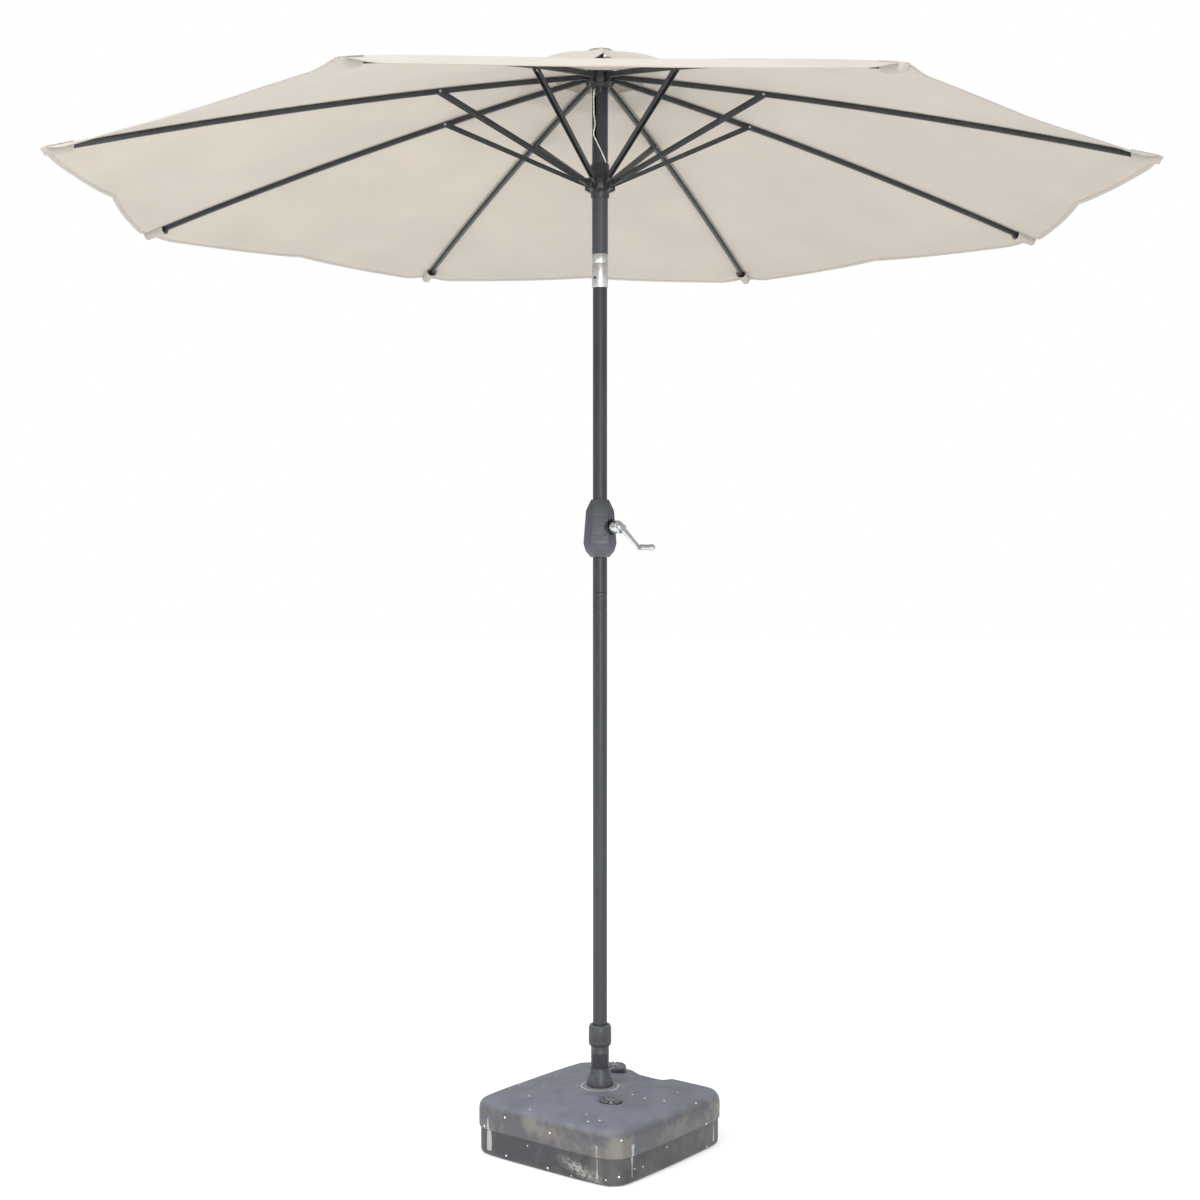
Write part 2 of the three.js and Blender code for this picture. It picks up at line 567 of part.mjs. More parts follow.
const tongue = join(
  solid(acrossX(TONGUE_R, TONGUE_HALF_W, TILT_Z)),
  solid(block(-TONGUE_HALF_W, TONGUE_HALF_W, -TONGUE_R, TONGUE_R, TILT_Z, splitZ + 1)),
);
const tonguePinHole = solid(acrossX(TILT_PIN_R + GAP, 40, TILT_Z));
add("tilt_knuckle_upper", "castAluminium", geometryOf(cut(
  join(upperBody, tongue), tonguePinHole, cordHole(TILT_Z - 30, UPPER_SPIGOT_TOP + 5),
)));
const pinHalf = Math.sqrt(KNUCKLE_R ** 2 - TILT_PIN_R ** 2) - 0.3;
add("tilt_pin", "springSteel", acrossX(TILT_PIN_R, pinHalf, TILT_Z));
add("tilt_button", "hubPlastic",
  levelRod(BUTTON_R, KNUCKLE_R - BUTTON_L, KNUCKLE_R - 0.2, BUTTON_AZIMUTH, BUTTON_Z));
const springRoom = KNUCKLE_R - BUTTON_L - GAP - buttonInner - GAP;
const springTube = tube(BUTTON_R - 0.4, BUTTON_R - 1.6, 0, springRoom, 16).translate(0, 0, buttonInner + GAP);
add("button_spring", "springSteel",
  springTube.rotateY(Math.PI / 2).rotateZ(rad(BUTTON_AZIMUTH)).translate(0, 0, BUTTON_Z));

// ---------- upper pole, with the cord's slot ----------
const HUB_BORE_TOP = 2600;
const upperPoleTop = HUB_BORE_TOP - GAP;
const outside = UPPER_POLE_R + CORD_R + CORD_OFF_POLE;
const wrapR = PULLEY_GROOVE_R + CORD_R + WRAP_GAP;
const pulleyOut = outside - wrapR;
const cordSlot = solid(block(8, 40, -SLOT_WIDTH / 2, SLOT_WIDTH / 2, SLOT_BOTTOM, PULLEY_Z + PULLEY_RIM_R + 1)
  .rotateZ(rad(SLOT_AZIMUTH)));
const axlePlace = atAzimuth(SLOT_AZIMUTH, pulleyOut, 0);
const axleHoles = solid(levelRod(PULLEY_AXLE_R + GAP, -40, 40, SLOT_AZIMUTH + 90, PULLEY_Z, 16)
  .translate(axlePlace.x, axlePlace.y, 0));
const upperPole = solid(tube(UPPER_POLE_R, upperInner, KNUCKLE_TOP + GAP, upperPoleTop));
add("upper_pole", "poleSteel", geometryOf(cut(upperPole, cordSlot, axleHoles)));

const axleHalf = Math.sqrt(UPPER_POLE_R ** 2 - pulleyOut ** 2) - 0.3;
const pulley = join(
  solid(turned([
    [0, -PULLEY_HALF], [PULLEY_RIM_R, -PULLEY_HALF], [PULLEY_GROOVE_R, -0.8], [PULLEY_GROOVE_R, 0.8],
    [PULLEY_RIM_R, PULLEY_HALF], [0, PULLEY_HALF],
  ], 24)),
  solid(rod(PULLEY_AXLE_R, -axleHalf, axleHalf, 16)),
);
add("crown_pulley", "springSteel", geometryOf(pulley)
  .rotateY(Math.PI / 2).rotateZ(rad(SLOT_AZIMUTH + 90)).translate(axlePlace.x, axlePlace.y, PULLEY_Z));

// ---------- crown hub, wire ring and cap ----------
const ribAzimuth = (i) => -112.5 + RIB_YAW + (360 / RIBS) * i;
const slotHalf = TONGUE_W / 2 + RUN;
const slotFloor = PIVOT_R - TONGUE_DEPTH / 2 - RUN;
const hubSleeveR = UPPER_POLE_R + GAP + HUB_SLEEVE_WALL;
const ringRoom = RING_WIRE_R + RUN;
const ribSlots = (z0, z1) => [...Array(RIBS).keys()].map((i) =>
  solid(block(slotFloor, 80, -slotHalf, slotHalf, z0, z1).rotateZ(rad(ribAzimuth(i)))));
const hub = cut(
  join(
    solid(rod(hubSleeveR, HUB_BOTTOM, HUB_LOBE_BOTTOM + 1)),
    solid(turned([[0, HUB_LOBE_BOTTOM], [HUB_R, HUB_LOBE_BOTTOM], [HUB_R, HUB_LOBE_TOP - 2],
      [HUB_R - 2, HUB_LOBE_TOP], [0, HUB_LOBE_TOP]], 32)),
    solid(turned([[0, HUB_LOBE_TOP - 1], [HUB_POST_R + 4, HUB_LOBE_TOP - 1],
      [HUB_POST_R, HUB_LOBE_TOP + 12], [HUB_POST_R, HUB_POST_TOP], [0, HUB_POST_TOP]])),
  ),
  solid(rod(UPPER_POLE_R + GAP, HUB_BOTTOM - 5, HUB_BORE_TOP)),
  ...ribSlots(HUB_LOBE_BOTTOM - 5, CROWN_Z + TONGUE_DEPTH / 2 + 2),
  solid(tube(PIVOT_R + ringRoom, PIVOT_R - ringRoom, HUB_LOBE_BOTTOM - 5, CROWN_Z + ringRoom, 32)),
);
add("crown_hub", "hubPlastic", geometryOf(hub));
const ringSection = (count) => [...Array(count).keys()].map((i) => {
  const angle = (2 * Math.PI * i) / count;
  return [PIVOT_R + RING_WIRE_R * Math.cos(angle), CROWN_Z + RING_WIRE_R * Math.sin(angle)];
});
add("crown_ring", "springSteel", turned(ringSection(6), 32));
const capUnder = HUB_POST_TOP + GAP;
add("crown_cap", "crownPlastic", turned([
  [0, capUnder], [CROWN_CAP_R, capUnder + 3], [CROWN_CAP_R, capUnder + 5], [CROWN_CAP_R - 7, capUnder + 9],
  [CROWN_CAP_R * 0.4, CROWN_CAP_TOP - 1], [0, CROWN_CAP_TOP],
]));

// ---------- runner ----------
const runnerBore = Math.max(KNUCKLE_R, UPPER_POLE_R) + RUN;
const flangeLow = RUNNER_Z - RUNNER_FLANGE_HALF;
const flangeHigh = RUNNER_Z + RUNNER_FLANGE_HALF;
const pinRoom = TONGUE_W / 2 + 3 + RUN;
const pinPockets = [...Array(RIBS).keys()].map((i) => solid(
  block(PIVOT_R - PIVOT_PIN_R - RUN, 80, -pinRoom, pinRoom, flangeLow - 5, RUNNER_Z + PIVOT_PIN_R + RUN)
    .rotateZ(rad(ribAzimuth(i)))));
const runner = cut(
  join(
    solid(rod(runnerBore + RUNNER_WALL, RUNNER_BOTTOM, RUNNER_TOP)),
    solid(turned([
      [0, flangeLow - 6], [runnerBore + RUNNER_WALL + 1, flangeLow - 6], [RUNNER_FLANGE_R, flangeLow],
      [RUNNER_FLANGE_R, flangeHigh], [runnerBore + RUNNER_WALL, flangeHigh + 4], [0, flangeHigh + 4],
    ], 32)),
  ),
  solid(rod(runnerBore, RUNNER_BOTTOM - 5, RUNNER_TOP + 5)),
  ...ribSlots(flangeLow - 10, flangeHigh + 10),
  ...pinPockets,
);
add("runner", "hubPlastic", geometryOf(runner));

// ---------- lift cord ----------
// Up inside the pole from the spool, over the crown pulley, out of the slot and round the pole to the runner.
const pulleyCentre = atAzimuth(SLOT_AZIMUTH, pulleyOut, PULLEY_Z);
const outwards = atAzimuth(SLOT_AZIMUTH, 1, 0);
const spoolSide = atAzimuth(CRANK_AZIMUTH - 90, SPOOL_CORE_R + CORD_R + GAP, CRANK_Z);
const cordPoints = [spoolSide, vec(0, CORD_HOLE_Y, 1700), vec(0, CORD_HOLE_Y, 2080)];
cordPoints.push(vec(0, CORD_HOLE_Y, 2160), vec(0, CORD_HOLE_Y, 2210));
for (let angle = 180; angle >= 0; angle -= 30) {
  const p = pulleyCentre.clone().addScaledVector(outwards, wrapR * Math.cos(rad(angle)));
  cordPoints.push(p.setZ(PULLEY_Z + wrapR * Math.sin(rad(angle))));
}
cordPoints.push(atAzimuth(SLOT_AZIMUTH, outside, 2500), atAzimuth(SLOT_AZIMUTH, outside, 2448));
const cordEndZ = RUNNER_TOP + GAP + CORD_R;
for (const share of [0.25, 0.5, 0.75, 1]) {
  cordPoints.push(atAzimuth(SLOT_AZIMUTH + 83 * share, outside + 1, 2448 + (cordEndZ - 2448) * share));
}
function cordGeometry(points, r, sides) {
  let across = vec(0, 0, 1).cross(outwards);
  const rings = points.map((p, i) => {
    const ahead = points[Math.min(i + 1, points.length - 1)];
    const behind = points[Math.max(i - 1, 0)];
    const along = ahead.clone().sub(behind).normalize();
    across = across.clone().addScaledVector(along, -across.dot(along)).normalize();
    const over = along.clone().cross(across);
    return [...Array(sides).keys()].map((k) => {
      const angle = (2 * Math.PI * k) / sides;
      return p.clone().addScaledVector(across, r * Math.cos(angle)).addScaledVector(over, r * Math.sin(angle));
    });
  });
  return loft(rings);
}
add("lift_cord", "cord", cordGeometry(cordPoints, CORD_R, 8));

// ---------- ribs, struts, tips and canopy petals ----------
// A rib's centre line, in its own radial plane: X outwards, Z up.
const ribRun = TIP_R - PIVOT_R;
const ribFall = CROWN_Z - TIP_Z;
const ribLength = Math.hypot(ribRun, ribFall);
const ribPoint = (t) => vec(PIVOT_R + ribRun * t, 0, CROWN_Z - ribFall * t + 4 * RIB_BOW * t * (1 - t));
const ribNormal = (t) => vec(ribFall - 4 * RIB_BOW * (1 - 2 * t), 0, ribRun).normalize();

// A rectangular bar along the rib's line between two shares of its length.
function ribBar(t0, t1, halfW, halfD, steps) {
  const rings = [];
  for (let i = 0; i <= steps; i += 1) {
    const t = t0 + ((t1 - t0) * i) / steps;
    const [centre, up] = [ribPoint(t), ribNormal(t)];
    const corners = [[1, -1], [1, 1], [-1, 1], [-1, -1]];
    rings.push(corners.map(([side, high]) =>
      centre.clone().addScaledVector(up, high * halfD).add(vec(0, -side * halfW, 0))).reverse());
  }
  return solid(loft(rings));
}

// A round bar square to the radial plane, through a point of it.
const crossBar = (p, r, half, segments = 10) =>
  rod(r, -half, half, segments).rotateX(Math.PI / 2).translate(p.x, 0, p.z);

const share = (distance) => distance / ribLength;
const tubeEnd = 1 - share(TIP_PLUG_L);
const [halfW, halfD] = [RIB_WIDTH / 2, RIB_DEPTH / 2];
const strutPivot = ribPoint(STRUT_AT);
const heel = join(
  ribBar(share(RIB_HEEL), share(RIB_HEEL + 12), halfW, halfD, 1),
  ribBar(0, share(RIB_HEEL + 2), TONGUE_W / 2, TONGUE_DEPTH / 2, 1),
  solid(crossBar(ribPoint(0), TONGUE_DEPTH / 2, TONGUE_W / 2, 12)),
);
const ribTube = cut(
  ribBar(share(RIB_HEEL), tubeEnd, halfW, halfD, 8),
  ribBar(share(RIB_HEEL + 10), tubeEnd + 0.01, halfW - RIB_WALL, halfD - RIB_WALL, 8),
);
const ribGeometry = geometryOf(cut(
  join(ribTube, heel),
  solid(crossBar(ribPoint(0), RING_WIRE_R + RUN + 0.3, 20, 8)),
  solid(crossBar(strutPivot, RIVET_R + GAP, 20, 8)),
));

// The tip: a moulded plug in the tube's end, with a shoulder that the cloth's pocket slips over.
const plugStart = tubeEnd + share(GAP);
const tipGeometry = geometryOf(join(
  ribBar(tubeEnd - share(TIP_PLUG_IN), plugStart + share(1), halfW - RIB_WALL - GAP, halfD - RIB_WALL - GAP, 1),
  ribBar(plugStart, plugStart + share(16), halfW + 1.5, halfD + 0.5, 1),
  ribBar(plugStart + share(15), 1 - share(TIP_SETBACK), halfW - 1, halfD - 3, 1),
));

// The strut: a U channel astride the rib, drawn with X from the runner's pivot to the rib's, Z up.
const runnerPivot = vec(PIVOT_R, 0, RUNNER_Z);
const strutSpan = strutPivot.clone().sub(runnerPivot);
const strutLength = strutSpan.length();
const channelHalf = halfW + STRUT_SIDE_GAP;
const strutHalf = channelHalf + STRUT_WALL;
const strutSide = new THREE.Shape();
strutSide.moveTo(0, -STRUT_DOWN);
strutSide.lineTo(strutLength, -STRUT_END_R);
strutSide.absarc(strutLength, 0, STRUT_END_R, -Math.PI / 2, Math.PI / 2, false);
strutSide.lineTo(strutLength - WEB_CUT, STRUT_UP);
strutSide.lineTo(0, STRUT_DOWN);
strutSide.absarc(0, 0, STRUT_DOWN, Math.PI / 2, (3 * Math.PI) / 2, false);
const tongueLength = 24;
const strutBody = cut(
  solid(sideCut(strutSide, 2 * strutHalf)),
  solid(block(tongueLength + 2, strutLength + 40, -channelHalf, channelHalf, -40, STRUT_UP - STRUT_WALL)),
  solid(block(strutLength - WEB_CUT, strutLength + 40, -channelHalf, channelHalf, -40, 40)),
  solid(block(-40, tongueLength, TONGUE_W / 2, 40, -40, 40)),
  solid(block(-40, tongueLength, -40, -TONGUE_W / 2, -40, 40)),
);
const pivotPin = solid(crossBar(vec(0, 0, 0), PIVOT_PIN_R, TONGUE_W / 2 + 3, 8));
const rivet = join(
  solid(crossBar(vec(strutLength, 0, 0), RIVET_R, strutHalf + RIVET_HEAD_H / 2, 8)),
  ...[1, -1].map((side) => {
    const head = rod(RIVET_HEAD_R, strutHalf - 0.3, strutHalf + RIVET_HEAD_H, 8);
    return solid(head.rotateX((side * Math.PI) / 2).translate(strutLength, 0, 0));
  }),
);
const strutPitch = Math.atan2(strutSpan.z, strutSpan.x);
const strutGeometry = geometryOf(join(strutBody, pivotPin, rivet))
  .rotateY(-strutPitch).translate(runnerPivot.x, 0, runnerPivot.z);

// A petal of the canopy: the half gores either side of one rib, with the raised vent cap's share sewn on.
const overRib = halfD + CLOTH_OVER_RIB + CLOTH;
const halfGore = rad(180 / RIBS);
function petalPoint(t, w) {
  const p = ribPoint(t);
  const reach = p.x * (1 - Math.abs(w)) + p.x * Math.cos(halfGore) * Math.abs(w) * Math.cos(halfGore);
  const aside = p.x * Math.cos(halfGore) * Math.sin(halfGore) * w;
  const loose = Math.min(1, 3 * Math.abs(w));
  const droop = HEM_DROOP * loose * THREE.MathUtils.smoothstep(t, HEM_DROOP_START, 1);
  return vec(reach, aside, p.z + overRib - droop);
}
const hemShare = (w) => 1 - (SCALLOP / ribRun) * w * w;
const columns = [-1, -0.66, -0.33, 0, 0.33, 0.66, 1];
const mainRows = 8;
const mainGrid = [...Array(mainRows + 1).keys()].map((i) => columns.map((w) => {
  const t = VENT_START + (hemShare(w) - VENT_START) * (i / mainRows);
  return petalPoint(t, w);
}));
const ventEnd = (VENT_CAP_REACH - PIVOT_R) / ribRun;
function ventPoint(s, w) {
  const hem = petalPoint(ventEnd, w);
  const lift = VENT_CAP_LIFT + (VENT_MID_LIFT - VENT_CAP_LIFT) * w * w;
  const inner = VENT_INNER_R / hem.length();
  const scale = inner + (1 - inner) * s;
  const reach = VENT_INNER_R + (Math.hypot(hem.x, hem.y) - VENT_INNER_R) * s;
  const angle = Math.atan2(hem.y, hem.x);
  const z = VENT_TOP_Z - (VENT_TOP_Z - hem.z - lift) * Math.pow(scale, VENT_PUFF);
  return vec(reach * Math.cos(angle), reach * Math.sin(angle), z);
}
const ventRows = 4;
const ventGrid = [...Array(ventRows + 1).keys()].map((i) => columns.map((w) => ventPoint(i / ventRows, w)));
const ventHem = ventPoint(1, 0);
const ventSeam = block(ventHem.x - 8, ventHem.x - 1, -SEAM_HALF, SEAM_HALF,
  petalPoint(ventEnd, 0).z - CLOTH / 2, ventHem.z - CLOTH / 2);
const petalGeometry = geometryOf(join(
  solid(skin(mainGrid, CLOTH)), solid(skin(ventGrid, CLOTH)), solid(ventSeam),
));

for (let i = 0; i < RIBS; i += 1) {
  const radial = new THREE.Group();
  radial.rotation.z = rad(ribAzimuth(i));
  umbrella.add(radial);
  add(`rib_${i + 1}`, "ribSteel", ribGeometry, radial);
  add(`rib_tip_${i + 1}`, "hubPlastic", tipGeometry, radial);
  add(`strut_${i + 1}`, "ribSteel", strutGeometry, radial);
  add(`canopy_petal_${i + 1}`, "cloth", petalGeometry, radial);
}

export default umbrella;
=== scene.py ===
import math

import bmesh
import bpy
from mathutils import Matrix, Vector, noise


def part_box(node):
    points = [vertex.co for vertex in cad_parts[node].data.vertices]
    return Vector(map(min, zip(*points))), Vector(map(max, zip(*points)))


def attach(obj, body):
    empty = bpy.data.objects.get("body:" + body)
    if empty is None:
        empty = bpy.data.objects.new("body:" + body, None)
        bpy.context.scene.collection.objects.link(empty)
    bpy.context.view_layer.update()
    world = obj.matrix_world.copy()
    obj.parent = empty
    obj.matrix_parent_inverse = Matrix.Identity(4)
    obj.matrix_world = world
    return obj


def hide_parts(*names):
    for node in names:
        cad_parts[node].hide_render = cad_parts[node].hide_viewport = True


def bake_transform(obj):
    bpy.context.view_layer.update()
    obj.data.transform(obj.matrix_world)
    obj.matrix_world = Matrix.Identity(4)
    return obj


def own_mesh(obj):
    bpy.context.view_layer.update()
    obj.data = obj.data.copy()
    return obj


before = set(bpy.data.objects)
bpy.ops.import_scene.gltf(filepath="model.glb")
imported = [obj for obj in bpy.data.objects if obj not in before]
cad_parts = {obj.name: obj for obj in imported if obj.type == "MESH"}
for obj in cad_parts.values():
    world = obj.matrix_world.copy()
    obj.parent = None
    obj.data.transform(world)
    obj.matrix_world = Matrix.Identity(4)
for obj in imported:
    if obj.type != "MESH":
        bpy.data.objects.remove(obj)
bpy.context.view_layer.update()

MM = 0.001

# ---------------------------------------------------------------------------------------------------
# Camera: level, at chest height in front of the umbrella, with a small downward shift.
# ---------------------------------------------------------------------------------------------------
eye = bpy.data.cameras.new("eye_level")
eye.lens = 53.55
eye.sensor_width = 36.0
eye.clip_end = 60.0
eye.shift_y = -0.0306
camera = bpy.data.objects.new("eye_level", eye)
camera.location = (0.0, -4324 * MM, 1413 * MM)
camera.rotation_euler = (math.radians(90), 0.0, 0.0)
bpy.context.collection.objects.link(camera)
bpy.context.scene.camera = camera


# ---------------------------------------------------------------------------------------------------
# Lift cord: a 3 mm braided polyester line. It climbs inside the pole from the crank's spool, turns over
# the pulley in the crown, leaves by a slot and runs round the pole down to the runner.
# ---------------------------------------------------------------------------------------------------
def linear(hex_colour):
    """An sRGB hex colour as the linear colour that a shader takes."""
    channels = [int(hex_colour[i:i + 2], 16) / 255 for i in (1, 3, 5)]
    curve = [c / 12.92 if c <= 0.04045 else ((c + 0.055) / 1.055) ** 2.4 for c in channels]
    return (*curve, 1.0)


def add(tree, kind, settings, sockets):
    """One shader node, with its settings and with its sockets set or linked."""
    made = tree.nodes.new("ShaderNode" + kind)
    for name, value in settings.items():
        setattr(made, name, value)
    for name, value in sockets.items():
        if isinstance(value, bpy.types.NodeSocket):
            tree.links.new(value, made.inputs[name])
        else:
            made.inputs[name].default_value = value
    return made


def new_material(name):
    """An empty node material. Returns it with its node tree."""
    made = bpy.data.materials.new(name)
    made.use_nodes = True
    made.node_tree.nodes.clear()
    return made, made.node_tree


def piece(name, mesh, material, body, smooth=True):
    """A finished piece at the origin, riding on its body."""
    mesh.materials.clear()
    mesh.materials.append(material)
    if smooth:
        mesh.shade_smooth()
    made = bpy.data.objects.new(name, mesh)
    bpy.context.collection.objects.link(made)
    if body:
        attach(made, body)
    return made


def from_bmesh(name, bm):
    """The bmesh as a mesh, with the bmesh freed."""
    mesh = bpy.data.meshes.new(name)
    bm.to_mesh(mesh)
    bm.free()
    return mesh


def tube_mesh(name, points, radius, resolution=4):
    """A round tube along a smooth line through these points, made a mesh."""
    line = bpy.data.curves.new(name, "CURVE")
    line.dimensions = "3D"
    line.bevel_depth = radius
    line.bevel_resolution = resolution
    line.resolution_u = 8
    line.use_fill_caps = True
    spline = line.splines.new("BEZIER")
    spline.bezier_points.add(len(points) - 1)
    for point, knot in zip(points, spline.bezier_points):
        knot.co = point
        knot.handle_left_type = knot.handle_right_type = "AUTO"
    holder = bpy.data.objects.new(name, line)
    bpy.context.collection.objects.link(holder)
    bpy.context.view_layer.update()
    mesh = bpy.data.meshes.new_from_object(holder.evaluated_get(bpy.context.evaluated_depsgraph_get()))
    bpy.data.objects.remove(holder)
    return mesh


# Braided polyester: soft white with a fine diagonal plait, drawn at 3 mm so that it shows.
def braided_polyester():
    made, tree = new_material("braided_polyester_cord")
    place = add(tree, "TexCoord", {}, {}).outputs["Object"]
    plait = add(tree, "TexWave", {"wave_type": "BANDS", "bands_direction": "DIAGONAL"},
                {"Vector": place, "Scale": 1 / (3 * MM) / 6, "Distortion": 0.0})
    colour = add(tree, "Mix", {"data_type": "RGBA"},
                 {0: plait.outputs["Fac"], 6: linear("#c9c7c0"), 7: linear("#f1efe9")})
    bump = add(tree, "Bump", {}, {"Height": plait.outputs["Fac"], "Strength": 0.4, "Distance": 0.3 * MM})
    shader = add(tree, "BsdfPrincipled", {}, {"Base Color": colour.outputs[2], "Roughness": 0.75,
                                             "Normal": bump.outputs["Normal"]})
    add(tree, "OutputMaterial", {}, {"Surface": shader.outputs[0]})
    return made


def around(degrees, radius, z):
    """A point at this azimuth and radius from the pole's axis, in metres from millimetres."""
    angle = math.radians(degrees)
    return Vector((radius * math.cos(angle), radius * math.sin(angle), z)) * MM


CORD_RADIUS = 1.5
SLOT_AZIMUTH = -133
CORD_OUT = 21.65
PULLEY_OUT = 12.29
PULLEY_HEIGHT = 2551
WRAP_RADIUS = 9.36
cord_finish = braided_polyester()
low_route = [around(-133, 12.85, 1500), around(-90, 9, 1560), around(-90, 7.5, 1700),
             around(-90, 7.5, 2000), around(-90, 7.5, 2122)]
high_route = [around(-90, 7.5, 2125), around(-90, 7.5, 2210)]
for turn in range(180, -1, -30):
    reach = PULLEY_OUT + WRAP_RADIUS * math.cos(math.radians(turn))
    high_route.append(around(SLOT_AZIMUTH, reach, PULLEY_HEIGHT + WRAP_RADIUS * math.sin(math.radians(turn))))
high_route.append(around(SLOT_AZIMUTH, CORD_OUT, 2500))
free_route = [around(SLOT_AZIMUTH, CORD_OUT, 2499.6), around(SLOT_AZIMUTH + 9, CORD_OUT, 2474),
              around(SLOT_AZIMUTH, CORD_OUT + 0.4, 2448)]
for part in (0.25, 0.5, 0.75, 1.0):
    free_route.append(around(SLOT_AZIMUTH + 83 * part, CORD_OUT + 1, 2448 - (2448 - 2379.9) * part))
piece("lift_cord_low", tube_mesh("lift_cord_low", low_route, CORD_RADIUS * MM), cord_finish, "mast")
piece("lift_cord_high", tube_mesh("lift_cord_high", high_route, CORD_RADIUS * MM), cord_finish,
      "upper_mast")
free_cord = piece("lift_cord_free", tube_mesh("lift_cord_free", free_route, CORD_RADIUS * MM), cord_finish,
                  None)
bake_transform(free_cord)
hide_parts("lift_cord")

# ---------------------------------------------------------------------------------------------------
# Base tank: one blow-moulded polyethylene shell, filled with water or sand. It is a square pillow with
# broad corners, a parting step round its middle and a low dome on top, weathered and dusty outdoors.
# ---------------------------------------------------------------------------------------------------
TANK_SIDE = 456
TANK_YAW = 7
TANK_CORNER = 48
TANK_EDGE_HEIGHT = 130
TANK_EDGE_RADIUS = 24
TANK_FOOT_RADIUS = 12
TANK_TOP_HEIGHT = 149
TANK_PARTING = 65
TANK_STEP = 3
DOME_RINGS = 11
FRONT_WELL = (26, -107)
REAR_WELL = (38, 158)


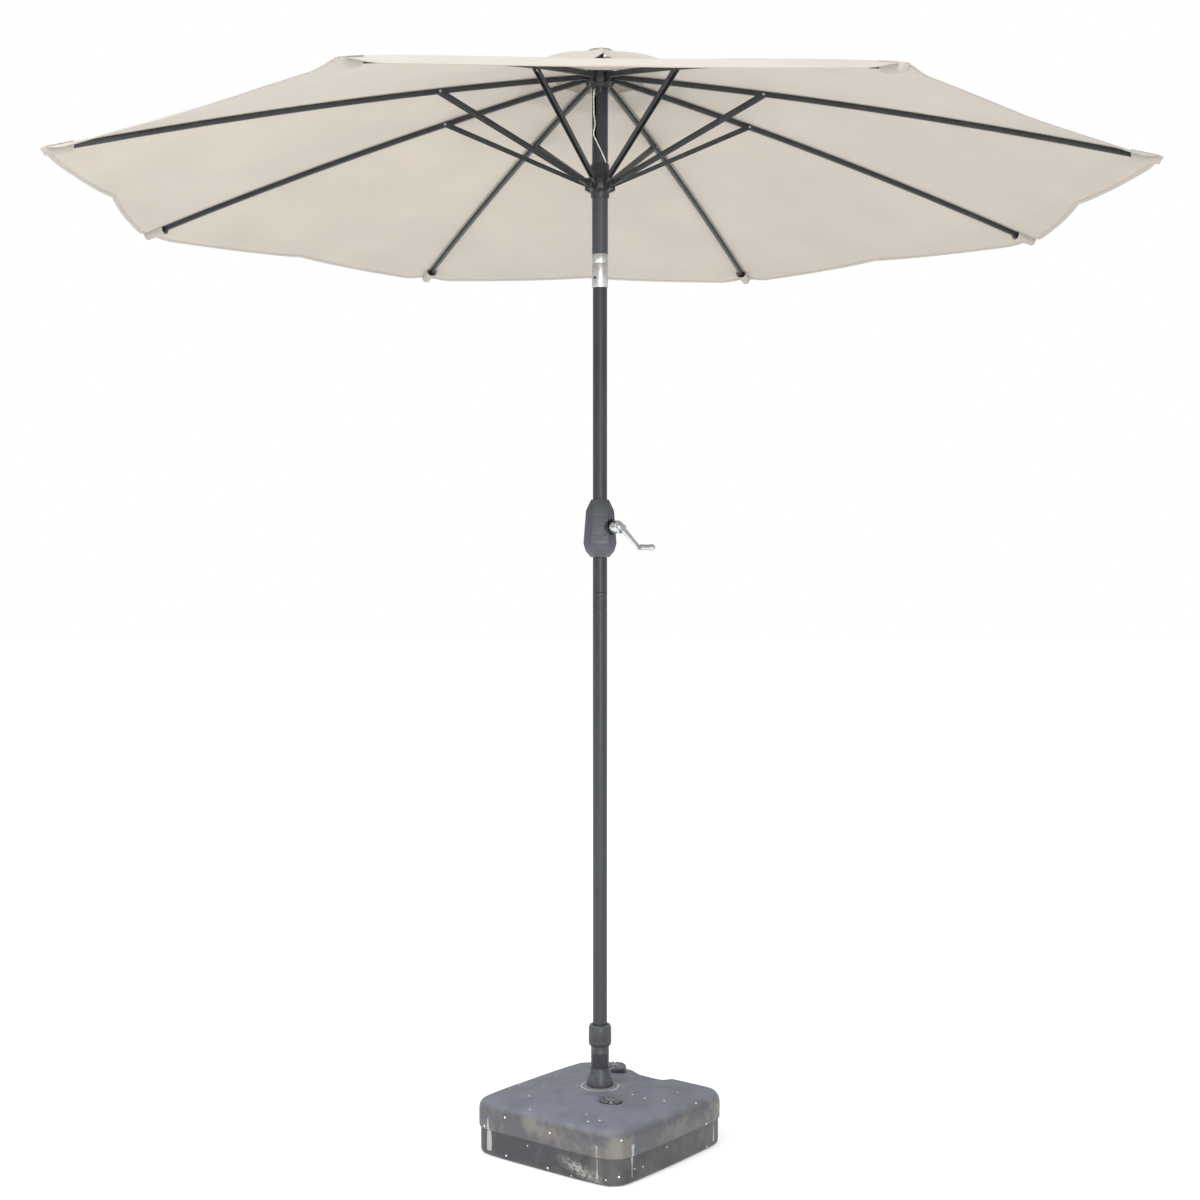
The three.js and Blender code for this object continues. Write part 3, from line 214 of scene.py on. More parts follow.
# Polyethylene, blow moulded: a waxy satin skin that holds dust on top and scuffs pale along the sides.
def weathered_polyethylene():
    made, tree = new_material("weathered_blow_moulded_polyethylene")
    place = add(tree, "TexCoord", {}, {}).outputs["Object"]
    height = add(tree, "SeparateXYZ", {}, {0: place}).outputs["Z"]
    facing = add(tree, "SeparateXYZ", {}, {0: add(tree, "NewGeometry", {},
                                                  {}).outputs["Normal"]}).outputs["Z"]
    broad = add(tree, "TexNoise", {}, {"Vector": place, "Scale": 1 / (80 * MM), "Detail": 4.0,
                                       "Roughness": 0.6})
    fine = add(tree, "TexNoise", {}, {"Vector": place, "Scale": 1 / (9 * MM), "Detail": 6.0,
                                      "Roughness": 0.7})
    upper = add(tree, "MapRange", {}, {"Value": height, "From Min": (TANK_PARTING - 2) * MM,
                                      "From Max": (TANK_PARTING + 2) * MM})
    body = add(tree, "Mix", {"data_type": "RGBA"},
               {0: upper.outputs[0], 6: linear("#33353a"), 7: linear("#505056")})
    # Olive and brown mottling, strongest on the upper sides.
    patches = add(tree, "MapRange", {}, {"Value": broad.outputs["Fac"], "From Min": 0.44, "From Max": 0.66,
                                        "To Max": 0.8})
    patch_share = add(tree, "Math", {"operation": "MULTIPLY"}, {
        0: patches.outputs[0],
        1: add(tree, "MapRange", {}, {"Value": upper.outputs[0], "To Min": 0.3, "To Max": 1.0}).outputs[0]})
    mottled = add(tree, "Mix", {"data_type": "RGBA"},
                  {0: patch_share.outputs[0], 6: body.outputs[2], 7: linear("#7f7a70")})
    # Settled dust, on what faces up.
    level = add(tree, "MapRange", {}, {"Value": facing, "From Min": 0.25, "From Max": 0.9})
    dust_share = add(tree, "Math", {"operation": "MULTIPLY"}, {
        0: level.outputs[0],
        1: add(tree, "MapRange", {}, {"Value": broad.outputs["Fac"], "From Min": 0.25, "From Max": 0.7,
                                     "To Min": 0.45, "To Max": 0.95}).outputs[0]})
    dusty = add(tree, "Mix", {"data_type": "RGBA"},
                {0: dust_share.outputs[0], 6: mottled.outputs[2], 7: linear("#777d8c")})
    # A pale scuff low on the front left side: a slanting patch torn by streaks.
    from_scuff = add(tree, "VectorMath", {"operation": "SUBTRACT"},
                     {0: place, 1: (-45 * MM, -250 * MM, 27 * MM)}).outputs[0]
    spans = [add(tree, "VectorMath", {"operation": "DOT_PRODUCT"}, {0: from_scuff, 1: way}).outputs["Value"]
             for way in ((0.74 / 0.062, -0.58 / 0.062, -0.33 / 0.062), (0.2 / 0.016, -0.16 / 0.016,
                                                                        0.97 / 0.016))]
    scuff_at = add(tree, "VectorMath", {"operation": "LENGTH"}, {
        0: add(tree, "CombineXYZ", {}, {"X": spans[0], "Y": spans[1]}).outputs[0]})
    scuff = add(tree, "MapRange", {}, {"Value": scuff_at.outputs["Value"], "From Min": 1.25,
                                       "From Max": 0.35})
    streak_place = add(tree, "Mapping", {}, {"Vector": place, "Rotation": (0.0, 0.35, math.radians(38)),
                                            "Scale": (1.0, 3.0, 3.4)})
    streaks = add(tree, "TexNoise", {}, {"Vector": streak_place.outputs[0], "Scale": 1 / (22 * MM),
                                        "Detail": 5.0, "Roughness": 0.7})
    scuff_share = add(tree, "Math", {"operation": "MULTIPLY"}, {
        0: scuff.outputs[0],
        1: add(tree, "MapRange", {}, {"Value": streaks.outputs["Fac"], "From Min": 0.42, "From Max": 0.6,
                                     "To Max": 0.85}).outputs[0]})
    scuffed = add(tree, "Mix", {"data_type": "RGBA"},
                  {0: scuff_share.outputs[0], 6: dusty.outputs[2], 7: linear("#a3a29c")})
    # Dusty tide rings on the dome round the stem.
    flat_place = add(tree, "VectorMath", {"operation": "MULTIPLY"}, {0: place, 1: (1.0, 1.0, 0.0)})
    out = add(tree, "VectorMath", {"operation": "LENGTH"}, {0: flat_place.outputs[0]}).outputs["Value"]
    ripple = add(tree, "Math", {"operation": "PINGPONG"}, {0: out, 1: 6.5 * MM})
    ring = add(tree, "MapRange", {}, {"Value": ripple.outputs[0], "From Min": 3.2 * MM, "From Max": 5.2 * MM})
    near = add(tree, "MapRange", {}, {"Value": out, "From Min": 60 * MM, "From Max": 40 * MM})
    worn = add(tree, "MapRange", {}, {"Value": fine.outputs["Fac"], "From Min": 0.34, "From Max": 0.5})
    ring_share = add(tree, "Math", {"operation": "MULTIPLY"}, {
        0: add(tree, "Math", {"operation": "MULTIPLY"}, {0: ring.outputs[0], 1: near.outputs[0]}).outputs[0],
        1: worn.outputs[0]})
    ringed = add(tree, "Mix", {"data_type": "RGBA"},
                 {0: ring_share.outputs[0], 6: scuffed.outputs[2], 7: linear("#c9ccca")})
    # Dried white splashes, a few millimetres across.
    cells = add(tree, "TexVoronoi", {}, {"Vector": place, "Scale": 1 / (27 * MM), "Randomness": 1.0})
    drop = add(tree, "MapRange", {}, {"Value": cells.outputs["Distance"], "From Min": 0.11,
                                     "From Max": 0.08})
    kept = add(tree, "Math", {"operation": "GREATER_THAN"},
               {0: add(tree, "SeparateColor", {}, {0: cells.outputs["Color"]}).outputs[0], 1: 0.45})
    drop_share = add(tree, "Math", {"operation": "MULTIPLY"}, {0: drop.outputs[0], 1: kept.outputs[0]})
    colour = add(tree, "Mix", {"data_type": "RGBA"},
                 {0: drop_share.outputs[0], 6: ringed.outputs[2], 7: linear("#eef0f0")})
    roughness = add(tree, "MapRange", {}, {"Value": dust_share.outputs[0], "To Min": 0.42, "To Max": 0.62})
    grain = add(tree, "TexNoise", {}, {"Vector": place, "Scale": 1 / (1.6 * MM), "Detail": 3.0})
    relief = add(tree, "Math", {"operation": "ADD"}, {
        0: add(tree, "Math", {"operation": "MULTIPLY"}, {0: fine.outputs["Fac"], 1: 2.5}).outputs[0],
        1: grain.outputs["Fac"]})
    bump = add(tree, "Bump", {}, {"Height": relief.outputs[0], "Strength": 0.35, "Distance": 0.5 * MM})
    shader = add(tree, "BsdfPrincipled", {}, {"Base Color": colour.outputs[2], "IOR": 1.5,
                                             "Roughness": roughness.outputs[0],
                                             "Normal": bump.outputs["Normal"]})
    add(tree, "OutputMaterial", {}, {"Surface": shader.outputs[0]})
    return made


def smoothstep(x):
    x = min(max(x, 0.0), 1.0)
    return x * x * (3 - 2 * x)


def tank_mesh():
    turn = Matrix.Rotation(math.radians(TANK_YAW + 45), 4, "Z")
    bm = bmesh.new()
    bmesh.ops.create_cube(bm, size=1.0)
    bmesh.ops.scale(bm, vec=Vector((TANK_SIDE, TANK_SIDE, TANK_EDGE_HEIGHT)) * MM, verts=bm.verts)
    bmesh.ops.translate(bm, vec=(0, 0, TANK_EDGE_HEIGHT / 2 * MM), verts=bm.verts)
    uprights = [e for e in bm.edges if abs(e.verts[0].co.z - e.verts[1].co.z) > 50 * MM]
    bmesh.ops.bevel(bm, geom=uprights, offset=TANK_CORNER * MM, affect="EDGES", segments=3, profile=0.33,
                    material=-1)
    top = [f for f in bm.faces if f.normal.z > 0.9]
    bottom = [f for f in bm.faces if f.normal.z < -0.9]
    for faces, radius in ((top, TANK_EDGE_RADIUS), (bottom, TANK_FOOT_RADIUS)):
        rim = list({e for f in faces for e in f.edges})
        bmesh.ops.bevel(bm, geom=rim, offset=radius * MM, affect="EDGES", segments=4, profile=0.5,
                        material=-1)
    for height in (26, TANK_PARTING - 4, TANK_PARTING - 0.9, TANK_PARTING + 0.9, TANK_PARTING + 4, 96):
        bmesh.ops.bisect_plane(bm, geom=bm.verts[:] + bm.edges[:] + bm.faces[:], dist=1e-6,
                               plane_co=(0, 0, height * MM), plane_no=(0, 0, 1))
    # Rings drawn in towards the stem, from square at the rim to round at the foot of the flare.
    crown = max((f for f in bm.faces if f.normal.z > 0.99), key=lambda f: f.calc_area())
    rim = max(abs(v.co.x) for v in crown.verts) / MM
    middle = 24
    for step in range(1, DOME_RINGS + 1):
        share = step / DOME_RINGS
        half = rim + (middle - rim) * share
        before = rim + (middle - rim) * (share - 1 / DOME_RINGS)
        bmesh.ops.inset_region(bm, faces=[crown], thickness=0.05 * MM, use_even_offset=True)
        bmesh.ops.scale(bm, vec=(half / before, half / before, 1), verts=crown.verts)
        rise = (TANK_TOP_HEIGHT - TANK_EDGE_HEIGHT) * math.sin(math.pi / 2 * min((rim - half) / (rim - 50),
                                                                                 1))
        for vert in crown.verts:
            vert.co.z = (TANK_EDGE_HEIGHT + rise) * MM
            flat = vert.co.xy
            vert.co.xy = flat * (1 + (half * MM / flat.length - 1) * 0.3 * share)
    floor_face = min((f for f in bm.faces if f.normal.z < -0.99), key=lambda f: -f.calc_area())
    bmesh.ops.inset_region(bm, faces=[floor_face], thickness=60 * MM, use_even_offset=True)
    for vert in bm.verts:
        if vert.co.z < TANK_PARTING * MM:
            vert.co.xy *= 1 - 2 * TANK_STEP / TANK_SIDE
    bmesh.ops.transform(bm, matrix=turn, verts=bm.verts)
    return from_bmesh("base_tank_shell", bm)


def finished(name, mesh, levels):
    """The mesh with this many rounds of subdivision, made plain."""
    holder = bpy.data.objects.new(name, mesh)
    bpy.context.collection.objects.link(holder)
    rounds = holder.modifiers.new("round", "SUBSURF")
    rounds.levels = rounds.render_levels = levels
    bpy.context.view_layer.update()
    made = bpy.data.meshes.new_from_object(holder.evaluated_get(bpy.context.evaluated_depsgraph_get()))
    bpy.data.objects.remove(holder)
    made.name = name
    return made


tank = finished("base_tank_shell", tank_mesh(), 3)
front_at = Vector(FRONT_WELL) * MM
front_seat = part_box("front_filler_cap")[1].z - 9.35 * MM
grip_at = around(TANK_YAW + 45, 215, 0).xy
grip_along = around(TANK_YAW + 135, 1000, 0).xy
for vert in tank.vertices:
    flat = vert.co.xy
    if vert.co.z > (TANK_EDGE_HEIGHT - 28) * MM:
        # Soft creases run out from the stem, and the moulding is never quite even.
        bearing = math.atan2(flat.y, flat.x)
        far = flat.length
        crease = 1.3 * math.cos(5 * bearing + 0.7) * smoothstep(far / 0.1) * smoothstep((0.215 - far) / 0.05)
        settle = smoothstep((vert.co.z - (TANK_EDGE_HEIGHT - 8) * MM) / 0.02) * smoothstep((far - 0.03) / 0.02)
        vert.co.z += (crease + 2.0 * noise.noise(vert.co * 11) - 1.6) * MM * settle
        # The front cap sits in a round well.
        edge = (flat - front_at).length / MM
        sunk = front_seat - 0.4 * MM
        vert.co.z += (sunk - vert.co.z) * smoothstep((32.5 - edge) / 5) if vert.co.z > sunk else 0
        # The hand hold is a long dip in the rear right edge.
        along = (flat - grip_at).dot(grip_along)
        inward = abs((flat - grip_at).dot(around(TANK_YAW + 45, 1000, 0).xy))
        vert.co.z -= 10 * MM * smoothstep((0.068 - abs(along)) / 0.035) * smoothstep((0.05 - inward) / 0.03)
    swell = 1.2 * MM * noise.noise(vert.co * 9 + Vector((7, 3, 1)))
    vert.co.xy = flat * (1 + swell / max(flat.length, 0.05))
polyethylene = weathered_polyethylene()
tank_piece = piece("base_tank_shell", tank, polyethylene, "base")
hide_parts("base_tank")


# ---------------------------------------------------------------------------------------------------
# Ballast water: fills the tank to below the caps. It is unseen, and a little silty.
# ---------------------------------------------------------------------------------------------------
def keep_node(name, material, bevel=0.35, segments=2):
    """Gives a CAD node its finish. Its loose triangles are welded and its edges softened."""
    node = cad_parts[name]
    node.data.materials.clear()
    node.data.materials.append(material)
    node.data.shade_smooth()
    weld = node.modifiers.new("weld", "WELD")
    weld.merge_threshold = 0.01 * MM
    soften = node.modifiers.new("soften", "BEVEL")
    soften.limit_method = "ANGLE"
    soften.angle_limit = math.radians(35)
    soften.width = bevel * MM
    soften.segments = segments
    soften.harden_normals = True
    return node


def ballast_water():
    made, tree = new_material("silty_water")
    place = add(tree, "TexCoord", {}, {}).outputs["Object"]
    silt = add(tree, "TexNoise", {}, {"Vector": place, "Scale": 1 / (60 * MM), "Detail": 4.0})
    colour = add(tree, "Mix", {"data_type": "RGBA"},
                 {0: silt.outputs["Fac"], 6: linear("#8fa3ac"), 7: linear("#a9a893")})
    shader = add(tree, "BsdfPrincipled", {}, {"Base Color": colour.outputs[2], "Roughness": 0.08,
                                              "IOR": 1.333})
    add(tree, "OutputMaterial", {}, {"Surface": shader.outputs[0]})
    return made


keep_node("water_ballast", ballast_water())


# ---------------------------------------------------------------------------------------------------
# Filler caps: injection-moulded polypropylene screw caps. The front one is ribbed and sits in its well,
# the rear one is a low round knob that stands above the dome.
# ---------------------------------------------------------------------------------------------------
# Moulded polypropylene: satin black with a faint pebble, greyed by dust where it faces up.
def moulded_polypropylene(name, deep, dust, dust_most):
    made, tree = new_material(name)
    place = add(tree, "TexCoord", {}, {}).outputs["Object"]
    facing = add(tree, "SeparateXYZ", {}, {0: add(tree, "NewGeometry", {},
                                                  {}).outputs["Normal"]}).outputs["Z"]
    cloud = add(tree, "TexNoise", {}, {"Vector": place, "Scale": 1 / (18 * MM), "Detail": 5.0,
                                       "Roughness": 0.65})
    up = add(tree, "MapRange", {}, {"Value": facing, "From Min": -0.1, "From Max": 0.9, "To Min": 0.15})
    share = add(tree, "Math", {"operation": "MULTIPLY"}, {
        0: up.outputs[0],
        1: add(tree, "MapRange", {}, {"Value": cloud.outputs["Fac"], "From Min": 0.35, "From Max": 0.7,
                                     "To Min": 0.25 * dust_most, "To Max": dust_most}).outputs[0]})
    colour = add(tree, "Mix", {"data_type": "RGBA"}, {0: share.outputs[0], 6: linear(deep), 7: linear(dust)})
    roughness = add(tree, "MapRange", {}, {"Value": share.outputs[0], "To Min": 0.36, "To Max": 0.7})
    pebble = add(tree, "TexNoise", {}, {"Vector": place, "Scale": 1 / (0.9 * MM), "Detail": 2.0})
    bump = add(tree, "Bump", {}, {"Height": pebble.outputs["Fac"], "Strength": 0.25, "Distance": 0.15 * MM})
    shader = add(tree, "BsdfPrincipled", {}, {"Base Color": colour.outputs[2], "IOR": 1.49,
                                             "Roughness": roughness.outputs[0],
                                             "Normal": bump.outputs["Normal"]})
    add(tree, "OutputMaterial", {}, {"Surface": shader.outputs[0]})
    return made


cap_plastic = moulded_polypropylene("dusty_moulded_polypropylene", "#26262a", "#9a9da3", 0.8)
keep_node("front_filler_cap", cap_plastic, bevel=0.8, segments=3)
keep_node("rear_filler_cap", cap_plastic, bevel=1.2, segments=3)


# ---------------------------------------------------------------------------------------------------
# Stem and clamp: a polypropylene tube stands in the tank's well, with a flared collar round its foot and
# a ribbed lock nut that squeezes a split collet on to the pole.
# ---------------------------------------------------------------------------------------------------
def turned(name, profile, segments=64):
    """A turned solid about the pole's axis, from (radius, height) points in millimetres round its section."""
    bm = bmesh.new()
    corners = [bm.verts.new((r * MM, 0, z * MM)) for r, z in profile]
    edges = [bm.edges.new(pair) for pair in zip(corners, corners[1:] + corners[:1])]
    bmesh.ops.spin(bm, geom=corners + edges, cent=(0, 0, 0), axis=(0, 0, 1), angle=math.tau, steps=segments,
                   use_merge=True)
    bmesh.ops.remove_doubles(bm, verts=bm.verts, dist=1e-6)
    bmesh.ops.recalc_face_normals(bm, faces=bm.faces)
    return from_bmesh(name, bm)


def soften(made, width, segments=3, angle=30):
    """Small rounded edges on a piece, with shading that follows them."""
    edge = made.modifiers.new("soften", "BEVEL")
    edge.limit_method = "ANGLE"
    edge.angle_limit = math.radians(angle)
    edge.width = width * MM
    edge.segments = segments
    edge.harden_normals = True
    return made


stem_plastic = moulded_polypropylene("moulded_polypropylene_stem", "#303237", "#84888f", 0.55)
STEM_RADIUS = 21.8
stem = piece("stem_sleeve", turned("stem_sleeve", [
    (0, 34.4), (STEM_RADIUS, 34.4), (STEM_RADIUS, 226), (STEM_RADIUS + 0.5, 228), (STEM_RADIUS + 0.5, 232),
    (STEM_RADIUS, 234), (STEM_RADIUS, 262), (17.9, 262), (17.9, 44.4), (0, 44.4)]), stem_plastic, "base")
soften(stem, 0.6)
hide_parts("stem_tube")
collar = piece("stem_flare", turned("stem_flare", [
    (22.2, 149.4), (33, 149.4), (33.2, 152), (32.4, 160), (29.6, 172), (26.2, 182), (24.4, 190), (23.8, 193),
    (22.2, 193)]), stem_plastic, "base")
soften(collar, 0.8)
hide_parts("stem_collar")
keep_node("grip_collet", cap_plastic)


def lock_nut_mesh():
    bm = bmesh.new()
    bm.from_mesh(turned("lock_nut_blank", [
        (22.4, 247), (25.4, 247), (27.6, 252), (27.6, 290), (24.6, 297), (18.3, 297), (18.3, 285.3),
        (22.4, 285.3)], 72))
    # Every other strip between the two plain bands is pressed in, which leaves the grip's ribs.
    for height in (256, 278):
        bmesh.ops.bisect_plane(bm, geom=bm.verts[:] + bm.edges[:] + bm.faces[:], dist=1e-7,
                               plane_co=(0, 0, height * MM), plane_no=(0, 0, 1))
    grip = []
    for f in bm.faces:
        centre = f.calc_center_median()
        if abs(f.normal.z) < 0.2 and centre.xy.length > 26 * MM and 256 * MM < centre.z < 278 * MM:
            if int(math.degrees(math.atan2(centre.y, centre.x)) % 360 // 5) % 3 == 0:
                grip.append(f)
    bmesh.ops.inset_individual(bm, faces=grip, thickness=0.35 * MM, depth=-0.9 * MM)
    return from_bmesh("lock_nut_ribbed", bm)


nut = piece("lock_nut_ribbed", lock_nut_mesh(), stem_plastic, "lock_nut")
soften(nut, 0.5)
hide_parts("lock_nut")


# ---------------------------------------------------------------------------------------------------
# Poles: drawn steel tube, powder coated anthracite. The lower pole meets the crank pole over a joiner.
# ---------------------------------------------------------------------------------------------------
# Powder coat on steel: satin anthracite with a fine orange peel and a little dust along its length.
def powder_coated_steel(name, dark, light, roughness_low):
    made, tree = new_material(name)
    place = add(tree, "TexCoord", {}, {}).outputs["Object"]
    peel = add(tree, "TexNoise", {}, {"Vector": place, "Scale": 1 / (1.4 * MM), "Detail": 2.0})
    film = add(tree, "TexNoise", {}, {
        "Vector": add(tree, "Mapping", {}, {"Vector": place, "Scale": (1.0, 1.0, 0.18)}).outputs[0],
        "Scale": 1 / (26 * MM), "Detail": 5.0, "Roughness": 0.6})
    share = add(tree, "MapRange", {}, {"Value": film.outputs["Fac"], "From Min": 0.3, "From Max": 0.75})
    colour = add(tree, "Mix", {"data_type": "RGBA"}, {0: share.outputs[0], 6: linear(dark), 7: linear(light)})
    roughness = add(tree, "MapRange", {}, {"Value": share.outputs[0], "To Min": roughness_low,
                                          "To Max": roughness_low + 0.18})
    bump = add(tree, "Bump", {}, {"Height": peel.outputs["Fac"], "Strength": 0.2, "Distance": 0.12 * MM})
    shader = add(tree, "BsdfPrincipled", {}, {"Base Color": colour.outputs[2], "IOR": 1.5,
                                             "Roughness": roughness.outputs[0],
                                             "Normal": bump.outputs["Normal"]})
    add(tree, "OutputMaterial", {}, {"Surface": shader.outputs[0]})
    return made


pole_paint = powder_coated_steel("anthracite_powder_coat_on_steel_tube", "#272931", "#363a43", 0.36)
LOWER_RADIUS = 17.3
BORE = 15.8


def pole(name, radius, bore, low, high, body, *nodes):
    made = piece(name, turned(name, [(bore, low), (radius, low), (radius, high), (bore, high)], 96),
                 pole_paint,
                 body)
    soften(made, 0.5)
    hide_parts(*nodes)
    return made


pole("lower_pole_tube", LOWER_RADIUS, BORE, 44.7, 1304.7, "mast", "lower_pole")
pole("crank_pole_tube", LOWER_RADIUS, BORE, 1343.4, 2093.6, "mast", "crank_pole")
joiner = piece("pole_joiner_band", turned("pole_joiner_band", [
    (13.9, 1205), (15.45, 1205), (15.45, 1305), (17.5, 1305.3), (17.6, 1309), (17.3, 1311), (17.3, 1337),
    (17.6, 1339), (17.5, 1342.7), (15.45, 1343), (15.45, 1403), (13.9, 1403)], 96), pole_paint, "mast")
soften(joiner, 0.4)
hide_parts("pole_joiner")
keep_node("upper_pole", pole_paint, bevel=0.3)


# ---------------------------------------------------------------------------------------------------
# Crank housing: two moulded ABS half shells screwed round the pole, with flat faces and broad chamfers.
# ---------------------------------------------------------------------------------------------------
# Moulded ABS: mid grey, finely spark-eroded, with a soft broad sheen.
def moulded_abs():
    made, tree = new_material("spark_eroded_moulded_abs")
    place = add(tree, "TexCoord", {}, {}).outputs["Object"]
    cloud = add(tree, "TexNoise", {}, {"Vector": place, "Scale": 1 / (30 * MM), "Detail": 4.0})
    colour = add(tree, "Mix", {"data_type": "RGBA"},
                 {0: cloud.outputs["Fac"], 6: linear("#3c3f45"), 7: linear("#4c5058")})
    spark = add(tree, "TexNoise", {}, {"Vector": place, "Scale": 1 / (0.7 * MM), "Detail": 3.0})
    bump = add(tree, "Bump", {}, {"Height": spark.outputs["Fac"], "Strength": 0.3, "Distance": 0.12 * MM})
    shader = add(tree, "BsdfPrincipled", {}, {"Base Color": colour.outputs[2], "IOR": 1.52, "Roughness": 0.42,
                                             "Normal": bump.outputs["Normal"]})
    add(tree, "OutputMaterial", {}, {"Surface": shader.outputs[0]})
    return made


housing_finish = moulded_abs()
for half in ("crank_housing_front", "crank_housing_back"):
    keep_node(half, housing_finish, bevel=1.3, segments=3)


def housing_half(height):
    """Half the housing's width at this height."""
    levels = [(1428, 23), (1443, 35), (1461, 40), (1540, 34), (1567, 21.5)]
    for (low, narrow), (high, wide) in zip(levels, levels[1:]):
        if low <= height <= high:
            return narrow + (wide - narrow) * (height - low) / (high - low)


# Moulded lines stand out across the front face, two near the shoulder and three round the belly.
lines = bmesh.new()
for height, tall in ((1531, 3.4), (1522, 1.8), (1479, 1.8), (1470, 1.8), (1456, 2.4)):
    half = housing_half(height)
    line = bmesh.ops.create_cube(lines, size=1.0)["verts"]
    bmesh.ops.scale(lines, vec=Vector((2 * 0.515 * half - 3, 2.4, tall)) * MM, verts=line)
    lean = 0.076 if height > 1461 else -0.26
    for vert in line:
        vert.co.y += lean * vert.co.z * 0.95
    bmesh.ops.translate(lines, vec=Vector((0, -0.95 * half - 0.1, height)) * MM, verts=line)
lines_piece = piece("housing_lines", from_bmesh("housing_lines", lines), housing_finish, "mast",
                    smooth=False)
soften(lines_piece, 0.4)


# ---------------------------------------------------------------------------------------------------
# Crank: a steel spool inside the housing, turned by a bright chromed arm with a long spinning grip.
# ---------------------------------------------------------------------------------------------------
# Zinc-plated steel: grey with a fine turned grain.
def zinc_plated_steel():
    made, tree = new_material("zinc_plated_steel")
    place = add(tree, "TexCoord", {}, {}).outputs["Object"]
    spangle = add(tree, "TexVoronoi", {}, {"Vector": place, "Scale": 1 / (2.2 * MM)})
    tone = add(tree, "SeparateColor", {}, {0: spangle.outputs["Color"]})
    colour = add(tree, "Mix", {"data_type": "RGBA"},
                 {0: tone.outputs[0], 6: linear("#8d9093"), 7: linear("#b4b7ba")})
    roughness = add(tree, "MapRange", {}, {"Value": tone.outputs[1], "To Min": 0.28, "To Max": 0.42})
    shader = add(tree, "BsdfPrincipled", {}, {"Base Color": colour.outputs[2], "Metallic": 1.0,
                                             "Roughness": roughness.outputs[0]})
    add(tree, "OutputMaterial", {}, {"Surface": shader.outputs[0]})
    return made


# Chrome plate on a zinc casting: a bright mirror, hazed a little by handling.
def chrome_plate():
    made, tree = new_material("bright_chrome_plate")
    place = add(tree, "TexCoord", {}, {}).outputs["Object"]
    haze = add(tree, "TexNoise", {}, {"Vector": place, "Scale": 1 / (12 * MM), "Detail": 5.0})
    roughness = add(tree, "MapRange", {}, {"Value": haze.outputs["Fac"], "From Min": 0.3, "From Max": 0.75,
                                          "To Min": 0.06, "To Max": 0.2})
    ripple = add(tree, "TexNoise", {}, {"Vector": place, "Scale": 1 / (6 * MM), "Detail": 1.0})
    bump = add(tree, "Bump", {}, {"Height": ripple.outputs["Fac"], "Strength": 0.12, "Distance": 0.2 * MM})
    shader = add(tree, "BsdfPrincipled", {}, {"Base Color": linear("#c3c6c9"), "Metallic": 1.0,
                                             "Roughness": roughness.outputs[0],
                                             "Normal": bump.outputs["Normal"]})
    add(tree, "OutputMaterial", {}, {"Surface": shader.outputs[0]})
    return made


zinc = zinc_plated_steel()
hub_rubber = moulded_polypropylene("moulded_rubber_gasket", "#1b1c1f", "#3a3c40", 0.3)
chrome = chrome_plate()
keep_node("cord_spool", zinc)
crank_place = (Matrix.Translation((0, 0, 1500 * MM)) @ Matrix.Rotation(math.radians(-43), 4, "Z")
               @ Matrix.Rotation(math.radians(-50), 4, "X")
               @ Matrix(((0, 0, 1, 0), (1, 0, 0, 0), (0, 1, 0, 0), (0, 0, 0, 1))))


def put_on_crank(mesh):
    """Moves a mesh drawn with Z along the crank's axis and X down its arm to where the crank is."""
    mesh.transform(crank_place)
    return mesh


gasket = piece("boss_gasket", put_on_crank(turned("boss_gasket", [
    (16.6, 33), (19, 33), (19, 39.6), (18.4, 41), (17.2, 41), (16.6, 40.2)], 64)), hub_rubber, "mast")
soften(gasket, 0.4)
boss = piece("crank_boss", put_on_crank(turned("crank_boss", [
    (0, 30.4), (13, 30.4), (13, 38), (15.2, 38.6), (16, 40), (16, 52), (15.4, 53), (15.4, 54.2), (16, 55.2),
    (16, 61), (14.6, 64.6), (11, 66.6), (0, 67.4)], 72)), chrome, "crank")
soften(boss, 0.4)
# The arm is a cast bar that swells from an oval root, thins along its length and ends in a round eye.
arm = bmesh.new()
stations = [(-9.4, 66.6, 3.8, 2.2), (-8, 66.8, 6.8, 3.8), (-3, 67.8, 8.6, 5.0), (6, 70.6, 8.8, 5.4),
            (16, 73.8, 8.2, 5.0), (28, 77.6, 7.4, 4.5), (40, 81.4, 6.8, 4.1), (50, 84.6, 6.6, 3.9),
            (58, 87, 7.0, 3.9), (65, 88.2, 7.0, 3.8), (70, 88.4, 5.2, 3.6), (72, 88.4, 3.0, 2.4)]
loops = []
for step, (out, up, wide, thick) in enumerate(stations):
    ahead, behind = stations[min(step + 1, len(stations) - 1)], stations[max(step - 1, 0)]
    lean = math.atan2(ahead[1] - behind[1], ahead[0] - behind[0])
    ring = bmesh.ops.create_circle(arm, segments=16, radius=1.0)["verts"]
    bmesh.ops.scale(arm, vec=(wide, thick, 1), verts=ring)
    bmesh.ops.rotate(arm, verts=ring, cent=(0, 0, 0), matrix=Matrix(((0, 0, 1), (1, 0, 0), (0, 1, 0))))
    bmesh.ops.rotate(arm, verts=ring, cent=(0, 0, 0), matrix=Matrix.Rotation(-lean, 3, "Y"))
    bmesh.ops.translate(arm, vec=(out, 0, up), verts=ring)
    loops.append([e for e in arm.edges if e.verts[0] in ring and e.verts[1] in ring])
for low, high in zip(loops, loops[1:]):
    bmesh.ops.bridge_loops(arm, edges=low + high)
bmesh.ops.holes_fill(arm, edges=loops[0] + loops[-1])
bmesh.ops.recalc_face_normals(arm, faces=arm.faces)
bmesh.ops.scale(arm, vec=(MM, MM, MM), verts=arm.verts)
piece("crank_arm_cast", put_on_crank(finished("crank_arm_cast", from_bmesh("crank_arm_cast", arm), 2)),
      chrome, "crank")
